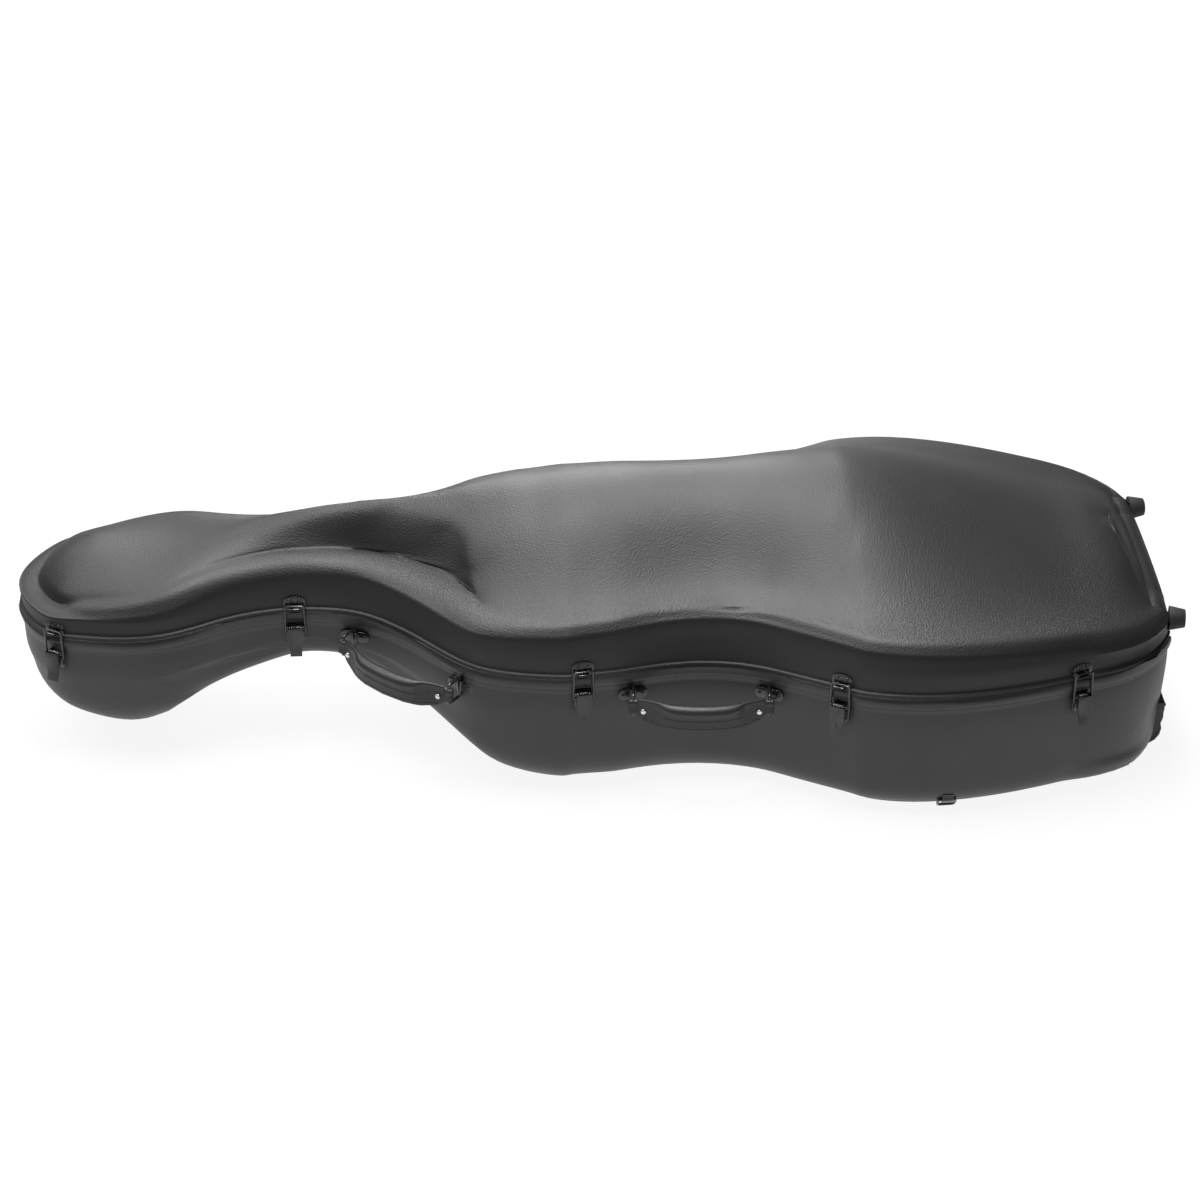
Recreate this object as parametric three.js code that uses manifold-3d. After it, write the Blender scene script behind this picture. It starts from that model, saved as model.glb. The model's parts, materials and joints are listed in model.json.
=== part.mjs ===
// Hard case for a cello, lying on its back with the lid up.
// Millimetres. +X runs from the scroll end to the tail end, +Z is up, and the
// latches and carrying handles are on the -Y side. The origin is on the flat
// of the back panel, which is what the case rests on.

import * as THREE from 'three';
import { mergeVertices } from 'three/addons/utils/BufferGeometryUtils.js';
import Module from 'manifold-3d';

const wasm = await Module();
wasm.setup();

// Driving dimensions of the case
const caseLength = 1345;
const scrollWidth = 242;
const neckWidth = 160;
const upperBoutWidth = 418;
const waistWidth = 366;
const lowerBoutWidth = 534;
const tailWidth = 406;
const baseDepth = 163;
const lidEdgeHeight = 54;
const lidCrestHeight = 162;
const partingRise = 18;
const wall = 4;
const seatGap = 0.3;
const cutOverrun = 2;
const surfaceWeld = 0.001;
const solidWeld = 0.0001;

// Outline of the rim, half of it: share of the length from the middle,
// the width it follows and the share of half that width.
const outlineShares = [
  [-0.4975, scrollWidth, 0.2],
  [-0.475, scrollWidth, 0.7],
  [-0.398, scrollWidth, 1],
  [-0.353, scrollWidth, 0.95],
  [-0.3025, neckWidth, 1.06],
  [-0.217, neckWidth, 1],
  [-0.1785, neckWidth, 1.22],
  [-0.111, upperBoutWidth, 0.866],
  [-0.0495, upperBoutWidth, 1],
  [0.024, upperBoutWidth, 0.955],
  [0.0785, waistWidth, 1],
  [0.121, waistWidth, 1.033],
  [0.1715, lowerBoutWidth, 0.82],
  [0.237, lowerBoutWidth, 0.985],
  [0.3055, lowerBoutWidth, 1],
  [0.37, lowerBoutWidth, 0.936],
  [0.4335, lowerBoutWidth, 0.822],
  [0.467, tailWidth, 1],
  [0.486, tailWidth, 0.89],
  [0.495, tailWidth, 0.74],
  [0.4985, tailWidth, 0.5],
];

// Heights along the case: share of the length, share of the named height.
const floorRiseShares = [
  [-0.5, 0.3],
  [-0.4, 0.2],
  [-0.32, 0.46],
  [-0.24, 0.67],
  [-0.19, 0.54],
  [-0.14, 0.28],
  [-0.08, 0.05],
  [-0.04, 0],
  [0.5, 0],
];
const lidEdgeShares = [
  [-0.5, 0.52],
  [-0.41, 0.66],
  [-0.32, 0.92],
  [-0.22, 1.06],
  [-0.1, 1.04],
  [-0.02, 1.08],
  [0.1, 1.2],
  [0.22, 1.14],
  [0.31, 1.08],
  [0.42, 0.86],
  [0.5, 0.66],
];
const lidCrestShares = [
  [-0.43, 0.45],
  [-0.35, 0.47],
  [-0.24, 0.68],
  [-0.14, 0.785],
  [-0.02, 0.94],
  [0.1, 0.99],
  [0.22, 1.0],
  [0.3, 0.84],
  [0.4, 0.58],
  [0.5, 0.42],
];
const partingShares = [
  [-0.5, 0],
  [-0.41, 0.35],
  [-0.31, 0.8],
  [-0.24, 1],
  [-0.16, 0.55],
  [-0.08, 0.05],
  [-0.03, 0],
  [0.5, 0],
];
const cornerWidthShares = [
  [-0.5, 1.1],
  [-0.4, 1.1],
  [-0.3, 1.7],
  [-0.22, 2.1],
  [-0.15, 2.9],
  [-0.12, 2.1],
  [-0.07, 1.2],
  [0, 1],
  [0.5, 1],
];
// Roundness of the crown along the case: 1 is a plain arch, more is a dished one
const crownPowerShares = [
  [-0.5, 0.9],
  [-0.36, 0.9],
  [-0.26, 1.1],
  [-0.18, 1.5],
  [-0.08, 1.6],
  [0.5, 1.5],
];
const baseCornerShares = [
  [-0.5, 1],
  [-0.38, 1.2],
  [-0.2, 1.1],
  [-0.06, 1.3],
  [0.05, 1.15],
  [0.15, 1],
  [0.34, 0.95],
  [0.46, 0.85],
  [0.5, 0.65],
];

// Rim and corners of the shells
const partingGap = 2.4;
const rimSetback = 0.8;
const beadHeight = 15;
const beadDepth = 3.5;
const beadSlope = 3;
const landHeight = 46;
const lidLandHeight = 22;
const draft = 6;
const cornerDepthShare = 0.4;
const lipHeight = 1.4;
const lipSlope = 1.6;
const baseCornerRadius = 46;
const lidCornerWidth = 20;
const lidCornerRise = 20;
const scrollSpineSetback = 95;
const tailSpineSetback = 60;
const columnSpacing = 80;
const scrollSpacing = 44;
const scrollReach = 300;

// Soft lining
const liningThickness = 9;
const liningClearance = 0.5;
const liningRimDrop = 3;
const sealWidth = 4.6;
const sealRecess = 1.2;

// Draw latches
const latchShares = [-0.462, -0.256, -0.01, 0.205, 0.41];
const latchFlat = 28;
const plateThickness = 1.5;
const keeperWidth = 25;
const keeperTop = 19.5;
const keeperShoulder = 13;
const keeperBottom = 4.8;
const hookWidth = 12;
const hookThickness = 1.4;
const hookSweep = 0.87;
const bailWire = 2.8;
const bailWidth = 22.2;
const bailBend = 2.2;
const bailOut = 2.6;
const bailTop = 8;
const bailPivotDrop = 25;
const leverPivotOut = 3.4;
const leverPivotDrop = 20;
const latchPinDiameter = 2.6;
const latchPinLength = 18.4;
const pinClearance = 0.2;
const leverWidth = 17.6;
const leverTipWidth = 13.8;
const leverThickness = 1.4;
const leverStandOff = 8.2;
const leverTop = 18.2;
const leverTaper = 30;
const leverKick = 45.5;
const leverEnd = 53;
const leverKickOut = 3;
const flangeThickness = 1.2;
const flangeMargin = 2.4;
const flangeReach = 38;
const keySlotWidth = 1.8;
const keySlotHeight = 7;
const keySlotDrop = 40;
const latchPlateTop = 17;
const latchPlateBottom = 42;
const latchPlateWidth = 20;
const latchPlateChamfer = 3;
const earGap = 12;
const earThickness = 1.2;
const earReach = 34;
const keyedLatch = 3;

// Carrying handles
const handleShares = [-0.1565, 0.0905];
const handleSpan = 154;
const handleDrop = 30;
const bracketFlat = 36;
const bracketWidth = 35;
const bracketHeight = 14;
const bracketThickness = 1.6;
const ringWire = 3.6;
const ringReach = 21;
const ringHeight = 26;
const ringDrop = 2;
const ringBend = 4;
const ringClearance = 0.35;
const axisMargin = 0.5;
const bracketRoot = 1;
const gripDrop = 11;
const sleeveHeightShare = 0.53;
const rollStart = -0.7;
const gripBow = 21;
const gripHeight = 32;
const gripThickness = 15;
// Place along half the grip, then height, strap, roll and bow
const gripShares = [
  [1.07, 0.47, 0.34, 0.34, 0],
  [1.045, 0.53, 0.56, 0.56, 0],
  [0.955, 0.53, 0.56, 0.56, 0],
  [0.93, 0.62, 0.36, 0.36, 0.03],
  [0.9, 0.76, 0.3, 0.3, 0.07],
  [0.8, 0.88, 0.3, 0.3, 0.22],
  [0.63, 1, 0.3, 0.34, 0.52],
  [0.54, 1, 0.3, 0.8, 0.68],
  [0.36, 1, 0.3, 1, 0.88],
  [0, 1, 0.3, 1, 1],
];

// Hinges on the far side
const hingeFlat = 62;
const hingeReachShares = [[-0.12, 0.03], [0.2, 0.4]];
const hingeLeafWidth = 58;
const hingeLeafThickness = 1.8;
const hingeStep = 16;
const hingeSlope = 3;
const hingeLeafEnd = 36;
const hingeLidEnd = 21;
const hingeLidStep = 4.6;
const hingeLipTop = 1.8;
const knuckleRadius = 4;
const knuckleCount = 3;
const knuckleGap = 0.3;
const hingePinDiameter = 3;
const hingeOut = 5.4;
const hingeInset = 3;
const hingeStandOff = 0.9;

// Standing feet on the lid and wheels in the base, at the tail end
const footSpread = 266;
const footRise = 20;
const footLength = 17;
const footRoot = 23;
const footBaseDiameter = 29;
const footTipDiameter = 21;
const footRounding = 2;
const wheelSpread = 226;
const wheelDiameter = 44;
const wheelWidth = 20;
const wheelRounding = 3;
const wheelHubDiameter = 20;
const wheelHubWidth = 23;
const wheelRise = 23.5;
const wheelSetback = 21;
const wheelPlay = 0.3;
const axleDiameter = 6;
const housingWidth = 31;
const housingWall = 3;
const housingFlangeHeight = 8;
const housingFlangeSide = 2.5;
const housingOut = 2.5;
// Setback from the tail and height of the corner of a housing cheek
const housingShares = [
  [0.05, 0.76],
  [0.15, 0.46],
  [0.34, 0.21],
  [0.62, 0.07],
  [0.98, 0.025],
];
const pocketClearance = 2.5;
const pocketDepth = 50;
const pocketHeight = 58;
const pocketEdge = 2;
const pocketReach = 150;

// Strap rings on the lower corner of the base
const strapRingShare = 0.3;
const strapRingTurn = 0.6;
const strapRingWidth = 20;
const strapRingReach = 14;
const strapRingWire = 3.4;
const strapRingBend = 4;
const strapPlateWidth = 13;
const strapPlateHeight = 18;
const strapPlateDepth = 8;
const strapPlateProud = 1.4;
const strapEyeProud = 3.6;
const strapAxisOut = 2.6;

// What holds the instrument inside
const cradleShare = -0.2937;
const cradleLength = 60;
const cradleWidth = 124;
const cradleTop = 158;
const cradleThroat = 58;
const cradleSeat = 126;
const strapThickness = 3;
const strapWidth = 38;
const strapRise = 26;
const strapSpan = 104;
const upperPadShare = -0.1115;
const lowerPadShare = 0.3123;
const padLength = 90;
const upperPadWidth = 190;
const lowerPadWidth = 250;
const padHeight = 18;
const pouchShare = -0.4164;
const pouchLength = 110;
const pouchWidth = 128;
const pouchHeight = 46;
const pouchRounding = 14;
const bowClipShares = [-0.1, 0.2];
const bowClipLength = 46;
const bowClipWidth = 13;
const bowClipThickness = 5;
const bowPostDiameter = 9;
const bowPostLength = 18;
const bowPostDrop = 2.2;

const blackShell = { color: 0x1b1b1c, roughness: 0.5, metalness: 0 };
const blackMetal = { color: 0x101011, roughness: 0.3, metalness: 0.9 };
const blackRubber = { color: 0x161616, roughness: 0.75, metalness: 0 };
const blackLeather = { color: 0x1c1c1d, roughness: 0.5, metalness: 0 };
const greyPlush = { color: 0x3a3c40, roughness: 0.95, metalness: 0 };
const steel = { color: 0xb9bbbd, roughness: 0.3, metalness: 1 };

const object = new THREE.Group();

// Adds one named piece, with its own material, to a group
function addPiece(name, geometry, finish, parent = object) {
  const piece = new THREE.Mesh(geometry, new THREE.MeshStandardMaterial(finish));
  piece.name = name;
  parent.add(piece);
  return piece;
}

// Smooth curve through a table of shares
function along(table, share) {
  const last = table.length - 1;
  if (share <= table[0][0]) return table[0][1];
  if (share >= table[last][0]) return table[last][1];
  const k = table.findIndex((row) => row[0] > share) - 1;
  const slope = (i) => {
    if (i <= 0 || i >= last) return 0;
    return (table[i + 1][1] - table[i - 1][1]) / (table[i + 1][0] - table[i - 1][0]);
  };
  const [x0, y0] = table[k];
  const [x1, y1] = table[k + 1];
  const run = x1 - x0;
  const t = (share - x0) / run;
  const rest = 1 - t;
  const ends = y0 * rest * rest * (1 + 2 * t) + y1 * t * t * (1 + 2 * rest);
  return ends + run * t * rest * (slope(k) * rest - slope(k + 1) * t);
}

const partingHeight = (x) => baseDepth + partingRise * along(partingShares, x / caseLength);
const floorHeight = (x) => baseDepth * Math.max(0, along(floorRiseShares, x / caseLength));
const edgeHeight = (x) => lidEdgeHeight * along(lidEdgeShares, x / caseLength);
const crestHeight = (x) => lidCrestHeight * along(lidCrestShares, x / caseLength);
const baseCorner = (x) => Math.min(
  baseCornerRadius * along(baseCornerShares, x / caseLength),
  (partingHeight(x) - floorHeight(x)) * cornerDepthShare);
const cornerWidth = (x) => lidCornerWidth * along(cornerWidthShares, x / caseLength);

// Half outline from the scroll end to the tail end, on the -Y side
function makeHalfOutline() {
  const half = outlineShares.map(([share, width, widthShare]) => (
    new THREE.Vector3(share * caseLength, -widthShare * width / 2, 0)));
  const far = half.map((p) => new THREE.Vector3(p.x, -p.y, 0)).reverse();
  const scrollTip = new THREE.Vector3(-caseLength / 2, 0, 0);
  const tailTip = new THREE.Vector3(caseLength / 2, 0, 0);
  const loop = [scrollTip, ...half, tailTip, ...far];
  const curve = new THREE.CatmullRomCurve3(loop, true, 'centripetal');
  curve.arcLengthDivisions = 4000;
  return curve;
}

const outlineCurve = makeHalfOutline();
const outlineLength = outlineCurve.getLength();

// Arc length of the point of the near half outline at a given x
function lengthAtX(x) {
  let low = 0;
  let high = outlineLength / 2;
  for (let i = 0; i < 40; i += 1) {
    const middle = (low + high) / 2;
    if (outlineCurve.getPointAt(middle / outlineLength).x < x) low = middle;
    else high = middle;
  }
  return (low + high) / 2;
}

// Arc length of the point of the tail edge at a given distance from the middle
function lengthAtTailY(y) {
  let low = outlineLength / 4;
  let high = outlineLength / 2;
  for (let i = 0; i < 40; i += 1) {
    const middle = (low + high) / 2;
    if (outlineCurve.getPointAt(middle / outlineLength).y < y) low = middle;
    else high = middle;
  }
  return (low + high) / 2;
}

// Two bracket places a handle span apart, about a place on the outline
function bracketLengths(centreX) {
  const centre = lengthAtX(centreX);
  let reach = handleSpan / 2;
  const chord = () => {
    const a = outlineCurve.getPointAt((centre - reach) / outlineLength);
    const b = outlineCurve.getPointAt((centre + reach) / outlineLength);
    return a.distanceTo(b);
  };
  for (let i = 0; i < 20; i += 1) reach += (handleSpan - chord()) / 2;
  return [centre - reach, centre + reach];
}

const handleLengths = handleShares.map((share) => bracketLengths(share * caseLength));

// The hinge line touches both bouts: arc lengths where it does
function findHingeLengths() {
  let heading = 0;
  let found = [];
  for (let round = 0; round < 8; round += 1) {
    const outward = new THREE.Vector3(Math.sin(heading), -Math.cos(heading), 0);
    found = hingeReachShares.map(([from, to]) => {
      const start = lengthAtX(from * caseLength);
      const run = lengthAtX(to * caseLength) - start;
      const tries = Array.from({ length: 201 }, (_, i) => start + run * i / 200);
      const reach = (s) => outlineCurve.getPointAt(s / outlineLength).dot(outward);
      return tries.reduce((best, s) => (reach(s) > reach(best) ? s : best));
    });
    const [a, b] = found.map((s) => outlineCurve.getPointAt(s / outlineLength));
    heading = Math.atan2(b.y - a.y, b.x - a.x);
  }
  return found;
}

const hingeLengths = findHingeLengths();
const latchLengths = latchShares.map((share) => lengthAtX(share * caseLength));
const footLengthAlong = lengthAtTailY(-footSpread / 2);
const pocketWidth = housingWidth + 2 * pocketClearance;

// Widening of a wheel pocket: for the outside and the inside of the base, then
// for the two sides of its lining.
const pocketSteps = [0, 1, 1, 2].map((edges, i) => edges * pocketEdge + (i > 1 ? wall : 0));
const outsideLevel = 0;
const insideLevel = 2;
const liningLevel = 3;

// Flats of the outline, where fittings sit, and the two sides of each wheel
// pocket, as pairs of arc lengths.
function outlineFlats() {
  const flats = [];
  const addFlat = (centre, width) => flats.push([centre - width / 2, centre + width / 2]);
  latchLengths.forEach((s) => addFlat(s, latchFlat));
  handleLengths.flat().forEach((s) => addFlat(s, bracketFlat));
  hingeLengths.forEach((s) => addFlat(s, hingeFlat));
  flats.sort((a, b) => a[0] - b[0]);
  return flats;
}

// Columns round the case: even steps, with a pair of columns at each flat
function makeColumns() {
  const marks = [0];
  for (const [from, to] of outlineFlats()) marks.push(from, to);
  const outer = pocketSteps.map((step) => -wheelSpread / 2 - pocketWidth / 2 - step).reverse();
  const inner = pocketSteps.map((step) => -wheelSpread / 2 + pocketWidth / 2 + step);
  marks.push(...[...outer, ...inner].map(lengthAtTailY), outlineLength / 2);
  const lengths = [];
  for (let i = 0; i < marks.length - 1; i += 1) {
    const run = marks[i + 1] - marks[i];
    const spacing = marks[i] < scrollReach ? scrollSpacing : columnSpacing;
    const parts = Math.max(Math.round(run / spacing), 1);
    for (let k = 0; k < parts; k += 1) lengths.push(marks[i] + run * k / parts);
  }
  lengths.push(outlineLength / 2);
  const near = lengths.map((s) => {
    const point = outlineCurve.getPointAt(s / outlineLength);
    const tangent = outlineCurve.getTangentAt(s / outlineLength);
    return { x: point.x, y: point.y, nx: tangent.y, ny: -tangent.x };
  });
  near[0].nx = -1;
  near[0].ny = 0;
  near[near.length - 1].nx = 1;
  near[near.length - 1].ny = 0;
  const far = near.slice(1, -1).reverse();
  return [...near, ...far.map((c) => ({ x: c.x, y: -c.y, nx: c.nx, ny: -c.ny }))];
}

const columns = makeColumns();

// Place on the outline at an arc length: its point, outward direction and rim height.
function placeAt(length, side = -1) {
  const point = outlineCurve.getPointAt(length / outlineLength);
  const nearest = (offset) => {
    const s = Math.min(Math.max(length + offset, 0), outlineLength / 2);
    return outlineCurve.getPointAt(s / outlineLength);
  };
  const from = nearest(-latchFlat / 2);
  const to = nearest(latchFlat / 2);
  const heading = Math.atan2(to.y - from.y, to.x - from.x);
  const middle = from.clone().add(to).multiplyScalar(1 / 2);
  return {
    x: middle.x,
    y: side < 0 ? middle.y : -middle.y,
    heading: side < 0 ? heading : -heading,
    rim: partingHeight(point.x),
  };
}

// Point of a column moved inwards and given a height
function insetPoint(column, inset, height) {
  return new THREE.Vector3(column.x - column.nx * inset, column.y - column.ny * inset, height);
}

function spineX(x) {
  return Math.min(Math.max(x, -caseLength / 2 + scrollSpineSetback),
    caseLength / 2 - tailSpineSetback);
}

// Joins rings of equally many points into a surface, closed where its end
// rings fold flat or where the last ring is the first. The first so many bands
// are split along their other diagonal, so that a surface followed from the
// middle out has the same facets as one followed from the rim in.
function loft(rings, turned = 0) {
  const count = rings[0].length;
  const positions = rings.flat().flatMap((p) => [p.x, p.y, p.z]);
  const index = [];
  for (let r = 0; r < rings.length - 1; r += 1) {
    for (let i = 0; i < count; i += 1) {
      const j = (i + 1) % count;
      const [a, b] = [r * count + i, r * count + j];
      const [c, d] = [a + count, b + count];
      if (r < turned) index.push(a, b, c, b, d, c);
      else index.push(a, b, d, a, d, c);
    }
  }
  return closedGeometry(positions, index);
}

// Merges equal points, drops flat triangles and turns the faces outwards
function closedGeometry(positions, index) {
  const raw = new THREE.BufferGeometry();
  raw.setAttribute('position', new THREE.Float32BufferAttribute(positions, 3));
  raw.setIndex(index);
  const merged = mergeVertices(raw, surfaceWeld);
  const p = merged.getAttribute('position');
  const source = merged.index.array;
  const kept = [];
  let volume = 0;
  const corner = (i) => new THREE.Vector3().fromBufferAttribute(p, i);
  for (let i = 0; i < source.length; i += 3) {
    const [a, b, c] = [source[i], source[i + 1], source[i + 2]];
    if (a !== b && b !== c && c !== a) {
      kept.push(a, b, c);
      volume += corner(a).dot(corner(b).cross(corner(c)));
    }
  }
  if (volume < 0) kept.reverse();
  merged.setIndex(kept);
  merged.computeVertexNormals();
  return merged;
}

// Closes a stack of rings with a fan at each end
function cappedLoft(rings) {
  const count = rings[0].length;
  const middle = (ring) => {
    const sum = ring.reduce((total, p) => total.add(p), new THREE.Vector3());
    return sum.multiplyScalar(1 / count);
  };
  const first = middle(rings[0]);
  const last = middle(rings[rings.length - 1]);
  return loft([rings[0].map(() => first), ...rings, rings[0].map(() => last)]);
}

function toSolid(geometry) {
  const bare = geometry.clone();
  bare.deleteAttribute('normal');
  bare.deleteAttribute('uv');
  const merged = mergeVertices(bare, solidWeld);
  const vertProperties = new Float32Array(merged.getAttribute('position').array);
  const triVerts = new Uint32Array(merged.index.array);
  return new wasm.Manifold(new wasm.Mesh({ numProp: 3, vertProperties, triVerts }));
}

function toGeometry(solid) {
  const mesh = solid.getMesh();
  const geometry = new THREE.BufferGeometry();
  geometry.setAttribute('position', new THREE.BufferAttribute(new Float32Array(mesh.vertProperties), 3));
  geometry.setIndex(new THREE.BufferAttribute(new Uint32Array(mesh.triVerts), 1));
  geometry.computeVertexNormals();
  return geometry;
}

function join(...geometries) {
  return toGeometry(geometries.map(toSolid).reduce((a, b) => a.add(b)));
}

function cut(body, ...tools) {
  return toGeometry([body, ...tools].map(toSolid).reduce((a, b) => a.subtract(b)));
}

// Plate drawn in the X-Z plane and thickened outwards, along +Y
function platePiece(shape, thickness) {
  const plate = new THREE.ExtrudeGeometry(shape, { depth: thickness, bevelEnabled: false });
  plate.rotateX(Math.PI / 2);
  plate.translate(0, thickness, 0);
  return plate;
}

// Profile drawn in the Y-Z plane and drawn out along X, about the middle
function profilePiece(shape, width) {
  const piece = new THREE.ExtrudeGeometry(shape, { depth: width, bevelEnabled: false });
  piece.applyMatrix4(new THREE.Matrix4().makeBasis(
    new THREE.Vector3(0, 1, 0), new THREE.Vector3(0, 0, 1), new THREE.Vector3(1, 0, 0)));
  piece.translate(-width / 2, 0, 0);
  return piece;
}

function polygon(points) {
  return new THREE.Shape(points.map(([x, y]) => new THREE.Vector2(x, y)));
}

function roundHole(shape, x, y, radius, sides = 8) {
  const ring = [];
  for (let i = 0; i < sides; i += 1) {
    const turn = 2 * Math.PI * i / sides;
    ring.push(new THREE.Vector2(x + radius * Math.cos(turn), y - radius * Math.sin(turn)));
  }
  shape.holes.push(new THREE.Path(ring));
}

// Round rod along X, about a place
function rodAlongX(diameter, length, y, z, sides = 8) {
  const rod = new THREE.CylinderGeometry(diameter / 2, diameter / 2, length, sides);
  rod.rotateZ(Math.PI / 2);
  rod.translate(0, y, z);
  return rod;
}

function rodAlongZ(diameter, length, x, y, z, sides = 10) {
  const rod = new THREE.CylinderGeometry(diameter / 2, diameter / 2, length, sides);
  rod.rotateX(Math.PI / 2);
  rod.translate(x, y, z);
  return rod;
}

// Round wire bent along a chain of points, with its corners rounded
function wirePiece(points, diameter, bendRadius, closed, sides = 6) {
  const count = points.length;
  const line = points.flatMap((p, i) => {
    if (!closed && (i === 0 || i === count - 1)) return [p];
    const before = points[(i - 1 + count) % count];
    const after = points[(i + 1) % count];
    const from = p.clone().add(before.clone().sub(p).setLength(bendRadius));
    const to = p.clone().add(after.clone().sub(p).setLength(bendRadius));
    return new THREE.QuadraticBezierCurve3(from, p, to).getPoints(2);
  });
  const last = line.length - 1;
  const normal = line[1].clone().sub(line[0]).cross(line[last >> 1].clone().sub(line[0])).normalize();
  const sections = line.map((p, i) => {
    const before = line[closed ? (i + last) % (last + 1) : Math.max(i - 1, 0)];
    const after = line[closed ? (i + 1) % (last + 1) : Math.min(i + 1, last)];
    const side = after.clone().sub(before).cross(normal).normalize();
    return Array.from({ length: sides }, (_, k) => {
      const turn = 2 * Math.PI * (k + 1 / 2) / sides;
      const offset = side.clone().multiplyScalar(diameter / 2 * Math.cos(turn));
      return p.clone().add(offset).addScaledVector(normal, diameter / 2 * Math.sin(turn));
    });
  });
  if (!closed) return cappedLoft(sections);
  return loft([...sections, sections[0]]);
}

// Smooth rows of a shell, from the rim to the middle line. The offset moves
// the whole surface inwards.
const cornerTurns = (count) => Array.from({ length: count }, (_, i) => Math.PI / 2 * (i + 1) / count);

// Whether a column lies in one of the wheel pockets of a surface
function inPocket(column, level) {
  const aside = Math.abs(Math.abs(column.y) - wheelSpread / 2) - pocketWidth / 2;
  const limit = pocketSteps[level] + pocketEdge / 2;
  return column.x > caseLength / 2 - pocketDepth && aside < limit;
}

function baseWallRows(offset, turns, rimDrop, level) {
  const wallInset = beadDepth + offset;
  const deep = pocketDepth + offset;
  const pocketTop = pocketHeight + offset;
  const radius = (c) => baseCorner(c.x) - offset;
  const cornerZ = (c) => floorHeight(c.x) + radius(c) + offset;
  const landZ = (c) => Math.max(partingHeight(c.x) - landHeight, cornerZ(c) + cutOverrun);
  const rows = [];
  const row = (inset, height) => rows.push(columns.map((c) => insetPoint(c, inset(c), height(c))));
  const split = (column, inside, outside) => (inPocket(column, level) ? inside : outside);
  row(() => wallInset, (c) => partingHeight(c.x) - partingGap / 2 - rimDrop);
  row(() => wallInset, landZ);
  const browZ = (c) => Math.max(pocketTop, (landZ(c) + cornerZ(c)) / 2);
  const browZHere = (c) => (c.x > caseLength / 2 - pocketReach ? pocketTop : browZ(c));
  row((c) => wallInset + draft * (landZ(c) - browZHere(c)) / (landZ(c) - cornerZ(c)), browZHere);
  row((c) => split(c, deep, wallInset + draft), (c) => split(c, pocketTop, cornerZ(c)));
  for (const turn of turns) {
    const arcInset = (c) => wallInset + draft + radius(c) * (1 - Math.cos(turn));
    const share = turn / turns[turns.length - 1];
    const backZ = (c) => pocketTop + (floorHeight(c.x) + offset - pocketTop) * share;
    row((c) => split(c, Math.max(deep, arcInset(c)), arcInset(c)),
      (c) => split(c, backZ(c), cornerZ(c) - radius(c) * Math.sin(turn)));
  }
  return rows;
}

function beadRows() {
  const shape = [
    [rimSetback, 0],
    [0, beadHeight / 3],
    [rimSetback, beadHeight - beadSlope],
    [beadDepth, beadHeight],
  ];
  return shape.map(([inset, drop]) => columns.map((c) => (
    insetPoint(c, inset, partingHeight(c.x) - partingGap / 2 - drop))));
}

// Rows that close a surface over the middle line, from its last wall row
function rowsToSpine(lastRow, shares, spineHeight, rise) {
  return shares.map((share) => lastRow.map((p, i) => {
    const x = spineX(columns[i].x);
    const middle = new THREE.Vector3(x, 0, spineHeight(x));
    const point = p.clone().lerp(middle, share);
    point.z = p.z + (middle.z - p.z) * rise(share, columns[i].x);
    return point;
  }));
}

function baseSurface(offset, turns, rimDrop, level) {
  const rows = baseWallRows(offset, turns, rimDrop, level);
  const flat = rowsToSpine(rows[rows.length - 1], [1 / 2, 1], (x) => floorHeight(x) + offset, (t) => t);
  return [...rows, ...flat];
}

function lidSurface(offset, turns, shares, rimDrop = 0) {
  const rows = [];
  const rise = (c) => Math.min(lidCornerRise, edgeHeight(c.x) - lidLandHeight);
  const top = (c) => partingHeight(c.x) + edgeHeight(c.x) - offset;
  const row = (inset, height) => rows.push(columns.map((c) => insetPoint(c, inset(c), height(c))));
  row(() => beadDepth + offset, (c) => partingHeight(c.x) + partingGap / 2 + rimDrop);
  row(() => beadDepth + offset, (c) => Math.min(top(c) - rise(c),
    partingHeight(c.x) + partingGap / 2 + lidLandHeight));
  for (const turn of turns) {
    row((c) => beadDepth + offset + cornerWidth(c.x) * (1 - Math.cos(turn)),
      (c) => top(c) - rise(c) * (1 - Math.sin(turn)));
  }
  const edge = rows[rows.length - 1];
  const power = (x) => along(crownPowerShares, x / caseLength);
  const crown = (t, x) => Math.sin(Math.PI / 2 * t) ** power(x);
  const crest = (x) => baseDepth + Math.max(crestHeight(x), edgeHeight(x)) - offset;
  return [...rows, ...rowsToSpine(edge, shares, crest, crown)];
}

// Closed body inside a surface, with a lid drawn across its rim
function closedBody(rows) {
  const rim = rowsToSpine(rows[0], [1], partingHeight, (t) => t);
  return loft([...rim, ...rows]);
}

// Shells
const fineTurns = cornerTurns(4);
const coarseTurns = cornerTurns(2);
const crownShares = [0.07, 0.2, 0.4, 0.66, 1];
const innerCrownShares = [0.14, 0.4, 0.72, 1];
const liningCrownShares = [0.25, 0.6, 1];

function makeBaseShell() {
  const outside = baseSurface(0, fineTurns, beadHeight, outsideLevel);
  const inside = baseSurface(wall, coarseTurns, 0, insideLevel);
  return loft([...outside.reverse(), ...beadRows().reverse(), ...inside], outside.length - 1);
}

function makeLidShell() {
  const outside = lidSurface(0, fineTurns, crownShares, lipHeight + lipSlope);
  const lipRow = (rise) => columns.map((c) => (
    insetPoint(c, rimSetback, partingHeight(c.x) + partingGap / 2 + rise)));
  const inside = lidSurface(wall, coarseTurns, innerCrownShares);
  return loft([...outside.reverse(), lipRow(lipHeight), lipRow(0), ...inside], outside.length - 1);
}

addPiece('base_shell', makeBaseShell(), blackShell);
addPiece('lid_shell', makeLidShell(), blackShell);

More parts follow.
